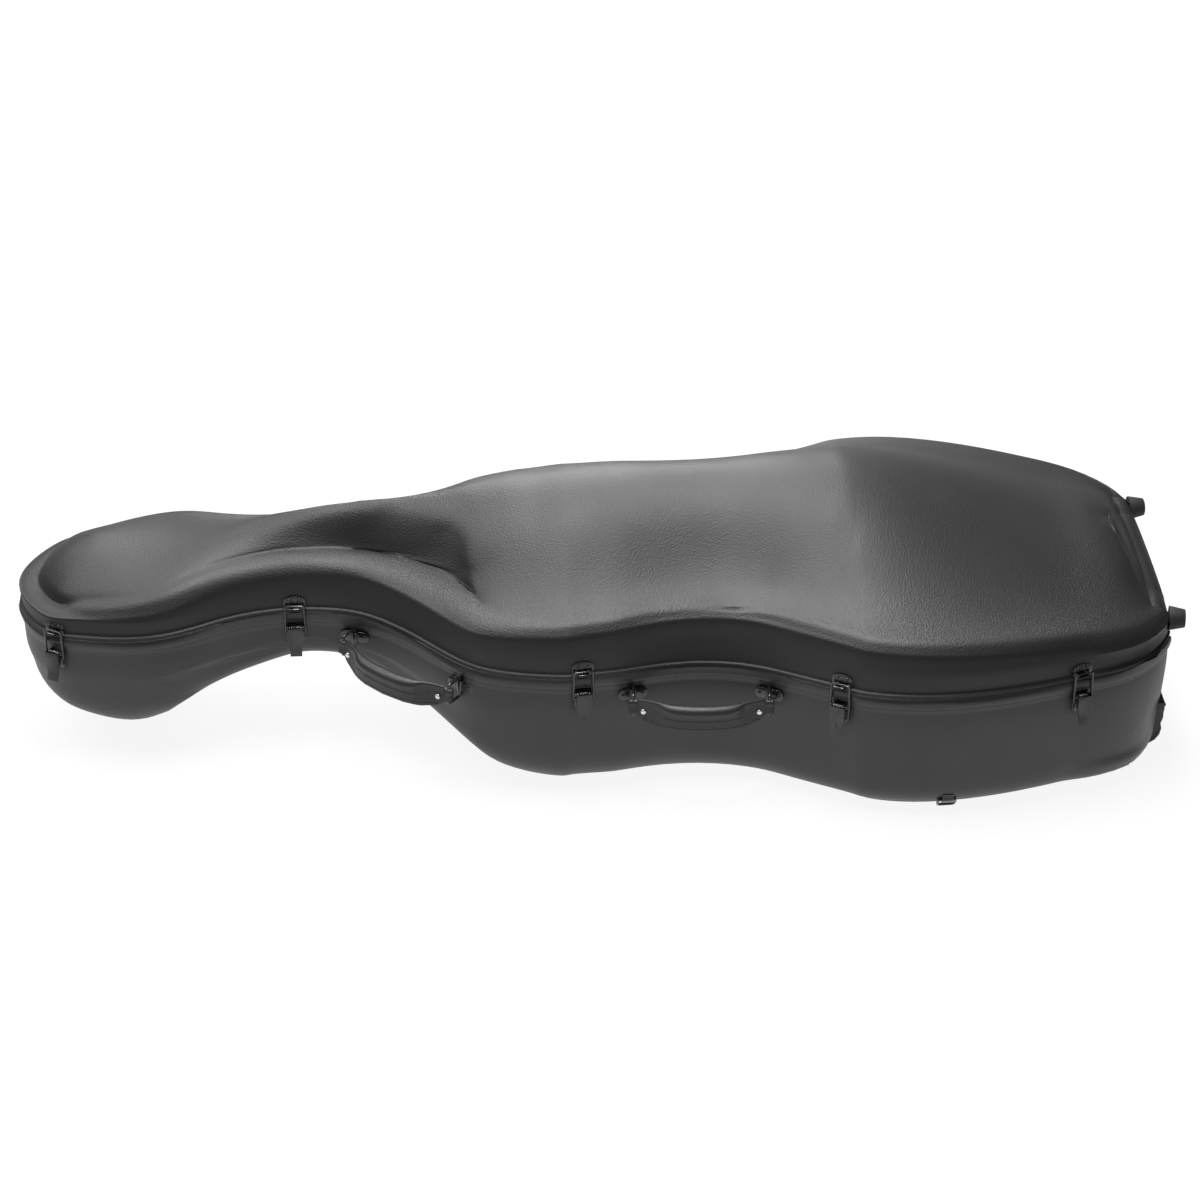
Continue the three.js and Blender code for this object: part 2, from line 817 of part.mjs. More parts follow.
// Seal in the joint between the rims
function makeSeal() {
  const low = -partingGap / 2 + seatGap;
  const row = (inset, rise) => columns.map((c) => insetPoint(c, inset, partingHeight(c.x) + rise));
  const [outer, inner] = [sealRecess, sealRecess + sealWidth];
  const rows = [row(outer, low), row(outer, -low), row(inner, -low), row(inner, low)];
  return loft([...rows, rows[0]]);
}

const liningOutside = wall + liningClearance;
const liningInside = liningOutside + liningThickness;

function makeBaseLining() {
  const outside = baseSurface(liningOutside, coarseTurns, liningRimDrop, liningLevel);
  const inside = baseSurface(liningInside, coarseTurns, liningRimDrop, liningLevel);
  return loft([...outside.reverse(), ...inside], outside.length - 1);
}

function makeLidLining() {
  const outside = lidSurface(liningOutside, coarseTurns, innerCrownShares, liningRimDrop);
  const inside = lidSurface(liningInside, cornerTurns(1), liningCrownShares, liningRimDrop);
  return loft([...outside.reverse(), ...inside], outside.length - 1);
}

addPiece('rim_seal', makeSeal(), blackRubber);
addPiece('base_lining', makeBaseLining(), greyPlush);
addPiece('lid_lining', makeLidLining(), greyPlush);

// Bodies that fittings are cut against, a seat gap off the shells and the lining
const baseBody = closedBody(baseSurface(-seatGap, fineTurns, 0, outsideLevel));
const lidBody = closedBody(lidSurface(-seatGap, fineTurns, crownShares));
const baseCavity = closedBody(baseSurface(liningInside + seatGap, coarseTurns, 0, liningLevel));

function within(body, cavity) {
  return toGeometry(toSolid(body).intersect(toSolid(cavity)));
}

// Group on the wall at a place of the outline: +Y points out of the wall
function fittingAt(length, side) {
  const place = placeAt(length, side);
  const group = new THREE.Group();
  group.position.set(place.x, place.y, place.rim);
  group.rotation.z = place.heading + (side < 0 ? Math.PI : 0);
  object.add(group);
  group.updateMatrixWorld(true);
  return group;
}

// Latches
const plateFace = -beadDepth + seatGap;

function makeKeeper() {
  const half = keeperWidth / 2;
  const arch = Array.from({ length: 9 }, (_, i) => {
    const turn = Math.PI * i / 8;
    const rise = (keeperTop - keeperShoulder) * Math.sin(turn);
    return [half * Math.cos(turn), keeperShoulder + rise];
  });
  const shape = polygon([[-half, keeperBottom], [half, keeperBottom], ...arch]);
  const plate = platePiece(shape, plateThickness);
  plate.translate(0, plateFace, 0);
  const drop = bailPivotDrop - leverPivotDrop;
  const centre = bailTop + drop;
  const inner = Math.hypot(leverPivotOut - bailOut, drop) + bailWire / 2 + seatGap;
  const outer = inner + hookThickness;
  const curl = (radius, i) => {
    const turn = hookSweep * i / 3;
    return [leverPivotOut + radius * Math.sin(turn), centre - radius * Math.cos(turn)];
  };
  const root = plateFace + plateThickness / 2;
  const hook = [[root, centre - inner]];
  for (let i = 0; i < 4; i += 1) hook.push(curl(inner, i));
  for (let i = 3; i >= 0; i -= 1) hook.push(curl(outer, i));
  hook.push([root, centre - outer]);
  return join(plate, profilePiece(polygon(hook), hookWidth));
}

function makeBail() {
  const arm = bailWidth / 2;
  const end = leverWidth / 2 - flangeThickness - pinClearance;
  const at = (x, z) => new THREE.Vector3(x, bailOut, z);
  const line = [
    at(end, -bailPivotDrop), at(arm, -bailPivotDrop), at(arm, bailTop),
    at(-arm, bailTop), at(-arm, -bailPivotDrop), at(-end, -bailPivotDrop),
  ];
  return wirePiece(line, bailWire, bailBend, false);
}

function makeLever(keyed) {
  const low = leverStandOff;
  const stations = [
    [leverTop, leverWidth, low],
    [leverTaper, leverWidth, low],
    [leverKick, leverTipWidth, low],
    [leverEnd, leverTipWidth, low + leverKickOut],
  ];
  const strip = cappedLoft(stations.map(([drop, width, y]) => [
    new THREE.Vector3(-width / 2, y, -drop),
    new THREE.Vector3(width / 2, y, -drop),
    new THREE.Vector3(width / 2, y + leverThickness, -drop),
    new THREE.Vector3(-width / 2, y + leverThickness, -drop),
  ]));
  const root = low + leverThickness / 2;
  const shape = polygon([
    [root, -leverTop],
    [leverPivotOut, -leverPivotDrop + flangeMargin],
    [leverPivotOut - flangeMargin, -leverPivotDrop],
    [bailOut - flangeMargin, -bailPivotDrop],
    [bailOut, -bailPivotDrop - flangeMargin],
    [root, -flangeReach],
  ]);
  roundHole(shape, leverPivotOut, -leverPivotDrop, latchPinDiameter / 2 + pinClearance, 8);
  roundHole(shape, bailOut, -bailPivotDrop, bailWire / 2 + pinClearance, 8);
  const flanges = [-1, 1].map((side) => {
    const flange = profilePiece(shape, flangeThickness);
    flange.translate(side * (leverWidth - flangeThickness) / 2, 0, 0);
    return flange;
  });
  const lever = join(strip, ...flanges);
  if (!keyed) return lever;
  const slot = new THREE.BoxGeometry(keySlotWidth, leverThickness + 2 * cutOverrun, keySlotHeight);
  slot.translate(0, leverStandOff + leverThickness / 2, -keySlotDrop);
  return cut(lever, slot);
}

function makeLatchPlate() {
  const half = latchPlateWidth / 2;
  const inner = half - latchPlateChamfer;
  const shape = polygon([
    [-half, -latchPlateTop],
    [-half, latchPlateChamfer - latchPlateBottom],
    [-inner, -latchPlateBottom],
    [inner, -latchPlateBottom],
    [half, latchPlateChamfer - latchPlateBottom],
    [half, -latchPlateTop],
  ]);
  const plate = platePiece(shape, plateThickness);
  plate.translate(0, plateFace, 0);
  const root = plateFace + plateThickness / 2;
  const reach = leverPivotOut + flangeMargin;
  const ear = polygon([
    [root, -latchPlateTop - earThickness],
    [root, -earReach],
    [plateFace + plateThickness + earThickness, -earReach],
    [reach, -leverPivotDrop - flangeMargin],
    [reach, -leverPivotDrop + earThickness],
    [leverPivotOut, -leverPivotDrop + flangeMargin],
  ]);
  const ears = [-1, 1].map((side) => {
    const piece = profilePiece(ear, earThickness);
    piece.translate(side * (earGap + earThickness) / 2, 0, 0);
    return piece;
  });
  const pin = rodAlongX(latchPinDiameter, latchPinLength, leverPivotOut, -leverPivotDrop);
  return join(plate, ...ears, pin);
}

latchLengths.forEach((length, i) => {
  const group = fittingAt(length, -1);
  const name = `latch_${i + 1}`;
  addPiece(`${name}_keeper`, makeKeeper(), blackMetal, group);
  addPiece(`${name}_plate`, makeLatchPlate(), blackMetal, group);
  addPiece(`${name}_lever`, makeLever(i === keyedLatch), blackMetal, group);
  addPiece(`${name}_bail`, makeBail(), blackMetal, group);
});

// Handles: each hangs in two rings that swing side to side like parallel arms
const ringAxisWall = seatGap + ringWire / 2 + axisMargin;
const ringAxisOut = -beadDepth + ringAxisWall;

function makeBracket() {
  const inner = ringWire / 2 + ringClearance;
  const outer = inner + bracketThickness;
  const low = seatGap - ringAxisWall;
  const high = low + bracketThickness;
  const half = bracketWidth / 2;
  const arc = (radius, steps) => Array.from({ length: steps + 1 }, (_, i) => {
    const turn = Math.PI * i / steps;
    return [radius * Math.cos(turn), radius * Math.sin(turn)];
  });
  const shape = polygon([
    [half, low - bracketRoot],
    [half, high],
    [outer, high],
    ...arc(outer, 6),
    [-outer, high],
    [-half, high],
    [-half, low - bracketRoot],
    [-inner, low - bracketRoot],
    ...arc(inner, 6).reverse(),
    [inner, low - bracketRoot],
  ]);
  const strip = new THREE.ExtrudeGeometry(shape, { depth: bracketHeight, bevelEnabled: false });
  strip.translate(0, 0, -bracketHeight / 2);
  const endRadius = bracketHeight / 2;
  const ends = [0, Math.PI].flatMap((side) => Array.from({ length: 7 }, (_, i) => {
    const turn = side + Math.PI * (i / 6 - 1 / 2);
    return [Math.cos(side) * (half - endRadius) + endRadius * Math.cos(turn), endRadius * Math.sin(turn)];
  }));
  const rounded = platePiece(polygon(ends), outer - low + bracketRoot + 2 * cutOverrun);
  rounded.translate(0, low - bracketRoot - cutOverrun, 0);
  return within(strip, rounded);
}

function makeRing(reach, height, wire, bend) {
  const at = (y, z) => new THREE.Vector3(0, y, z);
  const line = [at(0, height / 2), at(reach, height / 2), at(reach, -height / 2), at(0, -height / 2)];
  return wirePiece(line, wire, bend, true);
}

// Section of the grip: a strap with a round roll along its top edge
function gripSection(half, [place, height, strap, roll, bow]) {
  const tall = gripHeight * height;
  const [thin, thick] = [gripThickness * strap / 2, gripThickness * roll / 2];
  const low = -tall / 2 - ringDrop - gripDrop * Math.max(height - sleeveHeightShare, 0);
  const top = low + tall - thick;
  const y = ringReach + gripBow * bow;
  const points = [[-thin, low], [thin, low]];
  for (let i = 0; i < 7; i += 1) {
    const turn = rollStart + (Math.PI - 2 * rollStart) * i / 6;
    points.push([thick * Math.cos(turn), top + thick * Math.sin(turn)]);
  }
  return points.map(([out, z]) => new THREE.Vector3(half * place, y + out, z));
}

function makeGrip(half) {
  const right = gripShares.map((row) => gripSection(half, row));
  const left = right.slice(0, -1).reverse().map((ring) => (
    ring.map((p) => new THREE.Vector3(-p.x, p.y, p.z))));
  const bores = [-half, half].map((x) => (
    rodAlongZ(ringWire + 2 * ringClearance, gripHeight, x, ringReach, -ringDrop)));
  return cut(cappedLoft([...right, ...left]), ...bores);
}

handleLengths.forEach((lengths, i) => {
  const name = `handle_${i + 1}`;
  const places = lengths.map((length) => placeAt(length));
  const pivots = places.map((p) => new THREE.Vector3(
    p.x + ringAxisOut * Math.sin(p.heading), p.y - ringAxisOut * Math.cos(p.heading), p.rim - handleDrop));
  const xAxis = pivots[0].clone().sub(pivots[1]).normalize();
  const yAxis = new THREE.Vector3(0, 0, 1).cross(xAxis).normalize();
  const zAxis = xAxis.clone().cross(yAxis);
  const half = pivots[0].distanceTo(pivots[1]) / 2;
  const group = new THREE.Group();
  group.applyMatrix4(new THREE.Matrix4().makeBasis(xAxis, yAxis, zAxis));
  group.position.copy(pivots[0]).lerp(pivots[1], 1 / 2);
  object.add(group);
  const chordHeading = Math.atan2(xAxis.y, xAxis.x);
  places.forEach((place, k) => {
    const seat = new THREE.Group();
    seat.position.x = k === 0 ? half : -half;
    seat.rotation.z = place.heading + Math.PI - chordHeading;
    group.add(seat);
    const side = k === 0 ? 'left' : 'right';
    group.updateMatrixWorld(true);
    const bracket = makeBracket().applyMatrix4(seat.matrixWorld);
    addPiece(`${name}_bracket_${side}`, cut(bracket, baseBody), blackMetal);
    const ring = makeRing(ringReach, ringHeight, ringWire, ringBend);
    ring.translate(k === 0 ? half : -half, 0, -ringDrop);
    addPiece(`${name}_ring_${side}`, ring, blackMetal, group);
  });
  addPiece(`${name}_grip`, makeGrip(half), blackLeather, group);
});

// Hinges on one straight line that touches both bouts
function makeHingeLeaf(onLid) {
  const sign = onLid ? 1 : -1;
  const [step, end] = onLid ? [hingeLidStep, hingeLidEnd] : [hingeStep, hingeLeafEnd];
  const inner = hingeStandOff;
  const outer = inner + hingeLeafThickness;
  const face = plateFace + hingeLeafThickness;
  const land = plateFace - hingeInset;
  const shape = polygon([
    [inner, sign * hingeLipTop],
    [outer, sign * hingeLipTop],
    [outer, sign * (step + hingeLeafThickness / 2)],
    [face, sign * (step + hingeSlope + hingeLeafThickness / 2)],
    [face, sign * end],
    [land, sign * end],
    [land, sign * (step + hingeSlope)],
    [inner, sign * step],
  ]);
  const leaf = profilePiece(shape, hingeLeafWidth);
  const run = hingeLeafWidth / knuckleCount;
  const own = [];
  const others = [];
  for (let k = 0; k < knuckleCount; k += 1) {
    const x = (k + 1 / 2) * run - hingeLeafWidth / 2;
    const isOwn = (k % 2 === 1) === onLid;
    const radius = isOwn ? knuckleRadius : knuckleRadius + knuckleGap;
    const width = isOwn ? run - knuckleGap : run + knuckleGap;
    const barrel = rodAlongX(2 * radius, width, hingeOut, 0, 10);
    barrel.translate(x, 0, 0);
    (isOwn ? own : others).push(barrel);
  }
  const web = polygon([
    [inner, sign * hingeLipTop],
    [hingeOut, sign * hingeLipTop],
    [hingeOut, sign * (knuckleRadius - hingeLeafThickness / 2)],
    [outer, sign * (knuckleRadius + hingeLeafThickness)],
  ]);
  const bore = rodAlongX(hingePinDiameter + 2 * pinClearance, hingeLeafWidth + cutOverrun, hingeOut, 0);
  return cut(join(leaf, profilePiece(web, hingeLeafWidth), ...own), ...others, bore);
}

const hingePoints = hingeLengths.map((length) => {
  const ends = [-hingeFlat, hingeFlat].map((step) => (
    outlineCurve.getPointAt((length + step / 2) / outlineLength)));
  return ends[0].lerp(ends[1], 1 / 2);
});
const hingeHeight = partingHeight(hingePoints[1].x);
const hingeHeading = -Math.atan2(hingePoints[1].y - hingePoints[0].y, hingePoints[1].x - hingePoints[0].x);
hingePoints.forEach((point, i) => {
  const group = new THREE.Group();
  group.position.set(point.x, -point.y, hingeHeight);
  group.rotation.z = hingeHeading;
  object.add(group);
  group.updateMatrixWorld(true);
  for (const onLid of [false, true]) {
    const leaf = makeHingeLeaf(onLid).applyMatrix4(group.matrixWorld);
    const seated = cut(leaf, onLid ? lidBody : baseBody);
    addPiece(`hinge_${i + 1}_${onLid ? 'lid' : 'base'}_leaf`, seated, blackMetal);
  }
  addPiece(`hinge_${i + 1}_pin`, rodAlongX(hingePinDiameter, hingeLeafWidth, hingeOut, 0), steel, group);
});

// Standing feet, cut to the tail wall of the lid
[-1, 1].forEach((side, i) => {
  const place = placeAt(footLengthAlong, side);
  const [base, tip] = [footBaseDiameter / 2, footTipDiameter / 2];
  const profile = [
    [0, -footRoot],
    [base, -footRoot],
    [base, 0],
    [tip, footLength - footRounding],
    [tip - footRounding, footLength],
    [0, footLength],
  ];
  const foot = new THREE.LatheGeometry(profile.map(([r, y]) => new THREE.Vector2(r, y)), 14);
  foot.rotateZ(place.heading + (side < 0 ? Math.PI : 0));
  foot.translate(place.x, place.y, place.rim + footRise);
  addPiece(`foot_${i + 1}`, cut(foot, lidBody), blackRubber);
});

// Wheels in their housings at the tail corner of the base
const wheelX = caseLength / 2 - wheelSetback;

function lathed(profile, segments) {
  const points = [...profile, profile[0]].map(([r, y]) => new THREE.Vector2(r, y));
  return new THREE.LatheGeometry(points, segments);
}

function makeWheel() {
  const [radius, hub, bore] = [wheelDiameter / 2, wheelHubDiameter / 2, axleDiameter / 2 + wheelPlay];
  const [half, hubHalf] = [wheelWidth / 2, wheelHubWidth / 2];
  return lathed([
    [bore, -hubHalf],
    [hub, -hubHalf],
    [hub, -half],
    [radius - wheelRounding, -half],
    [radius, wheelRounding - half],
    [radius, half - wheelRounding],
    [radius - wheelRounding, half],
    [hub, half],
    [hub, hubHalf],
    [bore, hubHalf],
  ], 16);
}

function makeHousing() {
  const tail = caseLength / 2;
  const back = tail - pocketDepth - cutOverrun;
  const top = pocketHeight + cutOverrun;
  const corner = housingShares.map(([setback, height]) => (
    [tail - pocketDepth * setback + housingOut, pocketHeight * height]));
  const cheek = polygon([[back, top], [tail, top], ...corner, [back, pocketHeight * housingShares[4][1]]]);
  const cheeks = [-1, 1].map((side) => {
    const piece = platePiece(cheek, housingWall);
    piece.translate(0, side * (housingWidth - housingWall) / 2 - housingWall / 2, 0);
    return piece;
  });
  const box = (x0, x1, width, z0, z1) => {
    const piece = new THREE.BoxGeometry(x1 - x0, width, z1 - z0);
    piece.translate((x0 + x1) / 2, 0, (z0 + z1) / 2);
    return piece;
  };
  const roof = box(back, tail - housingOut, housingWidth, pocketHeight - seatGap - housingWall, top);
  const rear = box(back, wheelX - wheelDiameter / 2 - housingWall, housingWidth, housingWall, top);
  const flange = box(tail - pocketDepth / 2, tail, housingWidth + 2 * housingFlangeSide,
    pocketHeight - housingWall - seatGap, pocketHeight + housingFlangeHeight);
  return { solid: join(...cheeks, roof, rear), flange };
}

[-1, 1].forEach((side, i) => {
  const y = side * wheelSpread / 2;
  const wheel = makeWheel();
  wheel.translate(wheelX, y, wheelRise);
  const { solid, flange } = makeHousing();
  solid.translate(0, y, 0);
  flange.translate(0, y, 0);
  const hole = new THREE.CylinderGeometry(
    axleDiameter / 2 + pinClearance, axleDiameter / 2 + pinClearance, housingWidth + cutOverrun, 16);
  hole.translate(wheelX, y, wheelRise);
  addPiece(`wheel_housing_${i + 1}`, cut(join(solid, flange), baseBody, hole), blackRubber);
  addPiece(`wheel_${i + 1}`, wheel, blackRubber);
  const axle = new THREE.CylinderGeometry(axleDiameter / 2, axleDiameter / 2, housingWidth, 16);
  axle.translate(wheelX, y, wheelRise);
  addPiece(`wheel_axle_${i + 1}`, axle, steel);
});

// Strap rings, lying along the rounded lower corner
function strapFrame(side) {
  const length = lengthAtX(strapRingShare * caseLength);
  const group = fittingAt(length, side);
  const x = outlineCurve.getPointAt(length / outlineLength).x;
  const radius = baseCorner(x);
  const inset = beadDepth + draft + radius * (1 - Math.cos(strapRingTurn));
  const frame = new THREE.Group();
  frame.position.set(0, -inset, floorHeight(x) + radius * (1 - Math.sin(strapRingTurn)) - partingHeight(x));
  frame.rotation.x = -strapRingTurn;
  group.add(frame);
  object.updateMatrixWorld(true);
  return frame;
}

function makeStrapPlate(frame) {
  const eye = strapEyeProud + strapRingWire / 2 + ringClearance;
  const half = strapPlateHeight / 2;
  const shape = polygon([
    [-strapPlateDepth, -half],
    [strapPlateProud, -half],
    [strapPlateProud, -eye],
    [eye, -eye / 2],
    [eye, eye / 2],
    [strapPlateProud, eye],
    [strapPlateProud, half],
    [-strapPlateDepth, half],
  ]);
  const block = profilePiece(shape, strapPlateWidth);
  block.applyMatrix4(frame.matrixWorld);
  const bore = rodAlongX(strapRingWire + 2 * ringClearance, strapRingWidth, strapAxisOut, 0);
  bore.applyMatrix4(frame.matrixWorld);
  return cut(block, baseBody, bore);
}

[-1, 1].forEach((side, i) => {
  const frame = strapFrame(side);
  addPiece(`strap_plate_${i + 1}`, makeStrapPlate(frame), blackMetal);
  const ring = makeRing(strapRingReach, strapRingWidth, strapRingWire, strapRingBend);
  ring.rotateY(Math.PI / 2);
  ring.rotateX(-Math.PI / 2);
  ring.translate(0, strapAxisOut, 0);
  addPiece(`strap_ring_${i + 1}`, ring, blackMetal, frame);
});

// Supports inside
const cradleX = cradleShare * caseLength;
const pouchX = pouchShare * caseLength;

function blockPiece(x, width, length, bottom, top) {
  const block = new THREE.BoxGeometry(length, width, top - bottom);
  block.translate(x, 0, (bottom + top) / 2);
  return block;
}

function makeCradle() {
  const block = blockPiece(cradleX, cradleWidth, cradleLength, 0, cradleTop);
  const throat = blockPiece(cradleX, cradleThroat, cradleLength + cutOverrun,
    cradleSeat, cradleTop + cutOverrun);
  return within(cut(block, throat), baseCavity);
}

function makeNeckStrap() {
  const [half, inner] = [strapSpan / 2, cradleThroat / 2];
  const low = cradleTop + seatGap;
  const arch = [[-inner, 0], [-inner / 2, strapRise], [inner / 2, strapRise], [inner, 0]];
  const under = [[-half, 0], ...arch, [half, 0]];
  const over = under.map(([y, z]) => [y, z + strapThickness]).reverse();
  const strap = profilePiece(polygon([...under, ...over]), strapWidth);
  strap.translate(cradleX, 0, low);
  return strap;
}

function makePad(share, width) {
  const x = share * caseLength;
  const floor = floorHeight(x) + liningInside;
  return within(blockPiece(x, width, padLength, -padHeight, floor + padHeight), baseCavity);
}

function makePouch() {
  const floor = floorHeight(pouchX) + liningInside;
  const high = floor + pouchHeight;
  const half = pouchWidth / 2;
  const shape = polygon([
    [-half, 0],
    [half, 0],
    [half, high - pouchRounding],
    [half - pouchRounding, high],
    [pouchRounding - half, high],
    [-half, high - pouchRounding],
  ]);
  const body = profilePiece(shape, pouchLength);
  body.translate(pouchX, 0, 0);
  return within(body, baseCavity);
}

addPiece('neck_cradle', makeCradle(), greyPlush);
addPiece('neck_strap', makeNeckStrap(), blackLeather);
addPiece('upper_back_pad', makePad(upperPadShare, upperPadWidth), greyPlush);
addPiece('lower_back_pad', makePad(lowerPadShare, lowerPadWidth), greyPlush);
addPiece('accessory_pouch', makePouch(), greyPlush);

// Turning bow clips under the lid
bowClipShares.forEach((share, i) => {
  const x = share * caseLength;
  const top = baseDepth + crestHeight(x) - liningInside - bowPostDrop;
  const low = top - bowPostLength;
  const post = rodAlongZ(bowPostDiameter, bowPostLength, x, 0, (top + low) / 2);
  const bar = blockPiece(x, bowClipWidth, bowClipLength, low - bowClipThickness, low + seatGap);
  addPiece(`bow_clip_${i + 1}`, join(post, bar), blackRubber);
});

export default object;
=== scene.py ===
# %% [markdown]
# # A hard case for a cello
# The case lies on its back: a deep base, an arched lid over it, five draw
# latches and two carrying handles along the near side, hinges on the far
# side, and feet and wheels at the tail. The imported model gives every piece
# its place. This lesson gives each piece its rounded edges, its rivets and
# stitches, and a finish that is made of nodes.

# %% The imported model
import json
import math

import bmesh
import bpy
import numpy as np
from mathutils import Matrix, Vector
from mathutils.bvhtree import BVHTree
from mathutils.kdtree import KDTree

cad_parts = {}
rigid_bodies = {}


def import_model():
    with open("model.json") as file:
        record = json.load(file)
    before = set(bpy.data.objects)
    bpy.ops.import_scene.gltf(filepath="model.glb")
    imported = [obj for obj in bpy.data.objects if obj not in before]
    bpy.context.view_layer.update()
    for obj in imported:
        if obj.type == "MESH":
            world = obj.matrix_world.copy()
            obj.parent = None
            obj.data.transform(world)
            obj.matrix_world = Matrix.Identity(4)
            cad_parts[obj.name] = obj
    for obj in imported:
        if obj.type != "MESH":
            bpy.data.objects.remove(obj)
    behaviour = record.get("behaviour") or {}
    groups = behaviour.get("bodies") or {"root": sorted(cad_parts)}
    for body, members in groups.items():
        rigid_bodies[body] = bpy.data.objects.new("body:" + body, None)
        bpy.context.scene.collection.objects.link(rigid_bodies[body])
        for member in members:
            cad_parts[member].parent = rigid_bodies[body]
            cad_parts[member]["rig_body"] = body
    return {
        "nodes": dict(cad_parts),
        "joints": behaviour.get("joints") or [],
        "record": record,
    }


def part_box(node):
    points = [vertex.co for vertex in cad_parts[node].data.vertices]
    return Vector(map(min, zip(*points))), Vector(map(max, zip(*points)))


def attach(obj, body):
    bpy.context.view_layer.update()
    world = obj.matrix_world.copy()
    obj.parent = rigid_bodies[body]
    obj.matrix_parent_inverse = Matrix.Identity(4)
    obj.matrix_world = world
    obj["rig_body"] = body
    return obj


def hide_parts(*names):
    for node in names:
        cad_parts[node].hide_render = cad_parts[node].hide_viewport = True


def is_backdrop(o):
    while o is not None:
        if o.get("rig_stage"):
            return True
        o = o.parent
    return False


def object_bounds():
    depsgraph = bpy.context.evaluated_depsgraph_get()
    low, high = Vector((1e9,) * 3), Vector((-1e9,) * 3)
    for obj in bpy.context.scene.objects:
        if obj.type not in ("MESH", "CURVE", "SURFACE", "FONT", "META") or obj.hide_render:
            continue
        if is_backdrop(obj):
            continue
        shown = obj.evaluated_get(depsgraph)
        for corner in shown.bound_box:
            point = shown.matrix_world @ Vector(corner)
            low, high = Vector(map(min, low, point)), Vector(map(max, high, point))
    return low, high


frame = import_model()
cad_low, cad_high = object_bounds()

mm = 0.001
nodes = frame["nodes"]
joints = {joint["name"]: joint for joint in frame["joints"]}
body_of_node = {node: piece["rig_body"] for node, piece in nodes.items()}
slot_of_node = {part["node"]: part["material_slot"] for part in frame["record"]["subparts"]}
print("pieces in the packed model:", len(nodes))

# %% [markdown]
# ## The camera
# A long lens from far away keeps the two ends of a long object at nearly the
# same scale. The camera stands in front and thirty degrees up, a little to
# the left, and a small shift of the lens frames the case without turning
# the camera.

# %% The camera
photo_width = 1200
focal_in_pixels = 3303.9
sensor_width = 36
camera_place = Vector((-117.65, -3393.67, 2125.05)) * mm
camera_tilt = math.radians(90 - 30.017)
camera_turn = math.radians(-2.129)

bpy.ops.object.camera_add(location=camera_place, rotation=(camera_tilt, 0, camera_turn))
camera = bpy.context.object
camera.data.sensor_width = sensor_width
camera.data.lens = focal_in_pixels / photo_width * sensor_width
camera.data.shift_x = 4.12 / photo_width
camera.data.shift_y = -14 / photo_width
bpy.context.scene.camera = camera
print("lens:", round(camera.data.lens, 1), "mm")

# %% [markdown]
# ## Light and floor
# Black plastic has almost no colour of its own, so its shape is drawn by what
# it mirrors. Three lamps in a row, from low behind the case to right above
# it, lay the broad sheen on the crown, and two on the left light the neck and
# the scroll. The pale floor near the case is mirrored in the upright walls.
# Further out the floor counts as dark in mirrored rays, as the front of a
# studio is. To the camera it is nearly white and keeps a soft shadow.

# %% Light and floor
scene = bpy.context.scene
scene.view_settings.view_transform = "Standard"

world = bpy.data.worlds.new("studio")
scene.world = world
world.use_nodes = True
sky = world.node_tree.nodes["Background"]
sky.inputs["Color"].default_value = (1, 1, 1, 1)
sky.inputs["Strength"].default_value = 0.12


def soft_lamp(name, place, aim, width, depth, power):
    """Adds a wide lamp that shines from a place at a point."""
    bpy.ops.object.light_add(type="AREA", location=place)
    lamp = bpy.context.object
    lamp.name = name
    lamp.data.shape = "RECTANGLE"
    lamp.data.size = width
    lamp.data.size_y = depth
    lamp.data.energy = power
    direction = Vector(aim) - Vector(place)
    lamp.rotation_euler = direction.to_track_quat("-Z", "Y").to_euler()
    return lamp


soft_lamp("back_lamp", (-0.05, 2.5, 1.65), (0, 0.05, 0.3), 1.1, 1.3, 50)
soft_lamp("slope_lamp", (0.05, 1.3, 2.9), (0, 0, 0.25), 0.9, 1.7, 52)
soft_lamp("neck_lamp", (-1.8, 1.7, 2.0), (-0.45, 0, 0.2), 1.5, 1.8, 24)
soft_lamp("top_lamp", (-0.05, -0.15, 3.2), (-0.05, 0, 0.2), 0.9, 1.6, 95)
soft_lamp("left_lamp", (-1.9, -0.1, 2.6), (-0.5, 0, 0.2), 1.3, 1.8, 44)

bpy.ops.mesh.primitive_plane_add(size=60, location=(0, 0, -0.2 * mm))
floor = bpy.context.object
floor.name = "floor"
floor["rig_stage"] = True

floor_finish = bpy.data.materials.new("pale_floor")
floor_finish.use_nodes = True
tree = floor_finish.node_tree
tree.nodes.clear()
paint = tree.nodes.new("ShaderNodeBsdfDiffuse")
paint.inputs["Color"].default_value = (0.9, 0.9, 0.9, 1)
glow = tree.nodes.new("ShaderNodeEmission")
glow.inputs["Strength"].default_value = 1
light_path = tree.nodes.new("ShaderNodeLightPath")
seen_or_mirrored = tree.nodes.new("ShaderNodeMath")
seen_or_mirrored.operation = "MAXIMUM"
share_of_glow = tree.nodes.new("ShaderNodeMath")
share_of_glow.operation = "MULTIPLY"
share_of_glow.inputs[1].default_value = 0.9
blend_floor = tree.nodes.new("ShaderNodeMixShader")
output = tree.nodes.new("ShaderNodeOutputMaterial")
floor_place = tree.nodes.new("ShaderNodeTexCoord")
away = tree.nodes.new("ShaderNodeVectorMath")
away.operation = "LENGTH"
near_floor = tree.nodes.new("ShaderNodeMapRange")
near_floor.inputs["From Min"].default_value = 0.8
near_floor.inputs["From Max"].default_value = 1.3
near_floor.inputs["To Min"].default_value = 1
near_floor.inputs["To Max"].default_value = 0.1
mirrored = tree.nodes.new("ShaderNodeMath")
mirrored.operation = "MULTIPLY"
dark_front = tree.nodes.new("ShaderNodeMapRange")
dark_front.inputs["To Min"].default_value = 0.9
dark_front.inputs["To Max"].default_value = 0.15
tree.links.new(light_path.outputs["Is Glossy Ray"], dark_front.inputs["Value"])
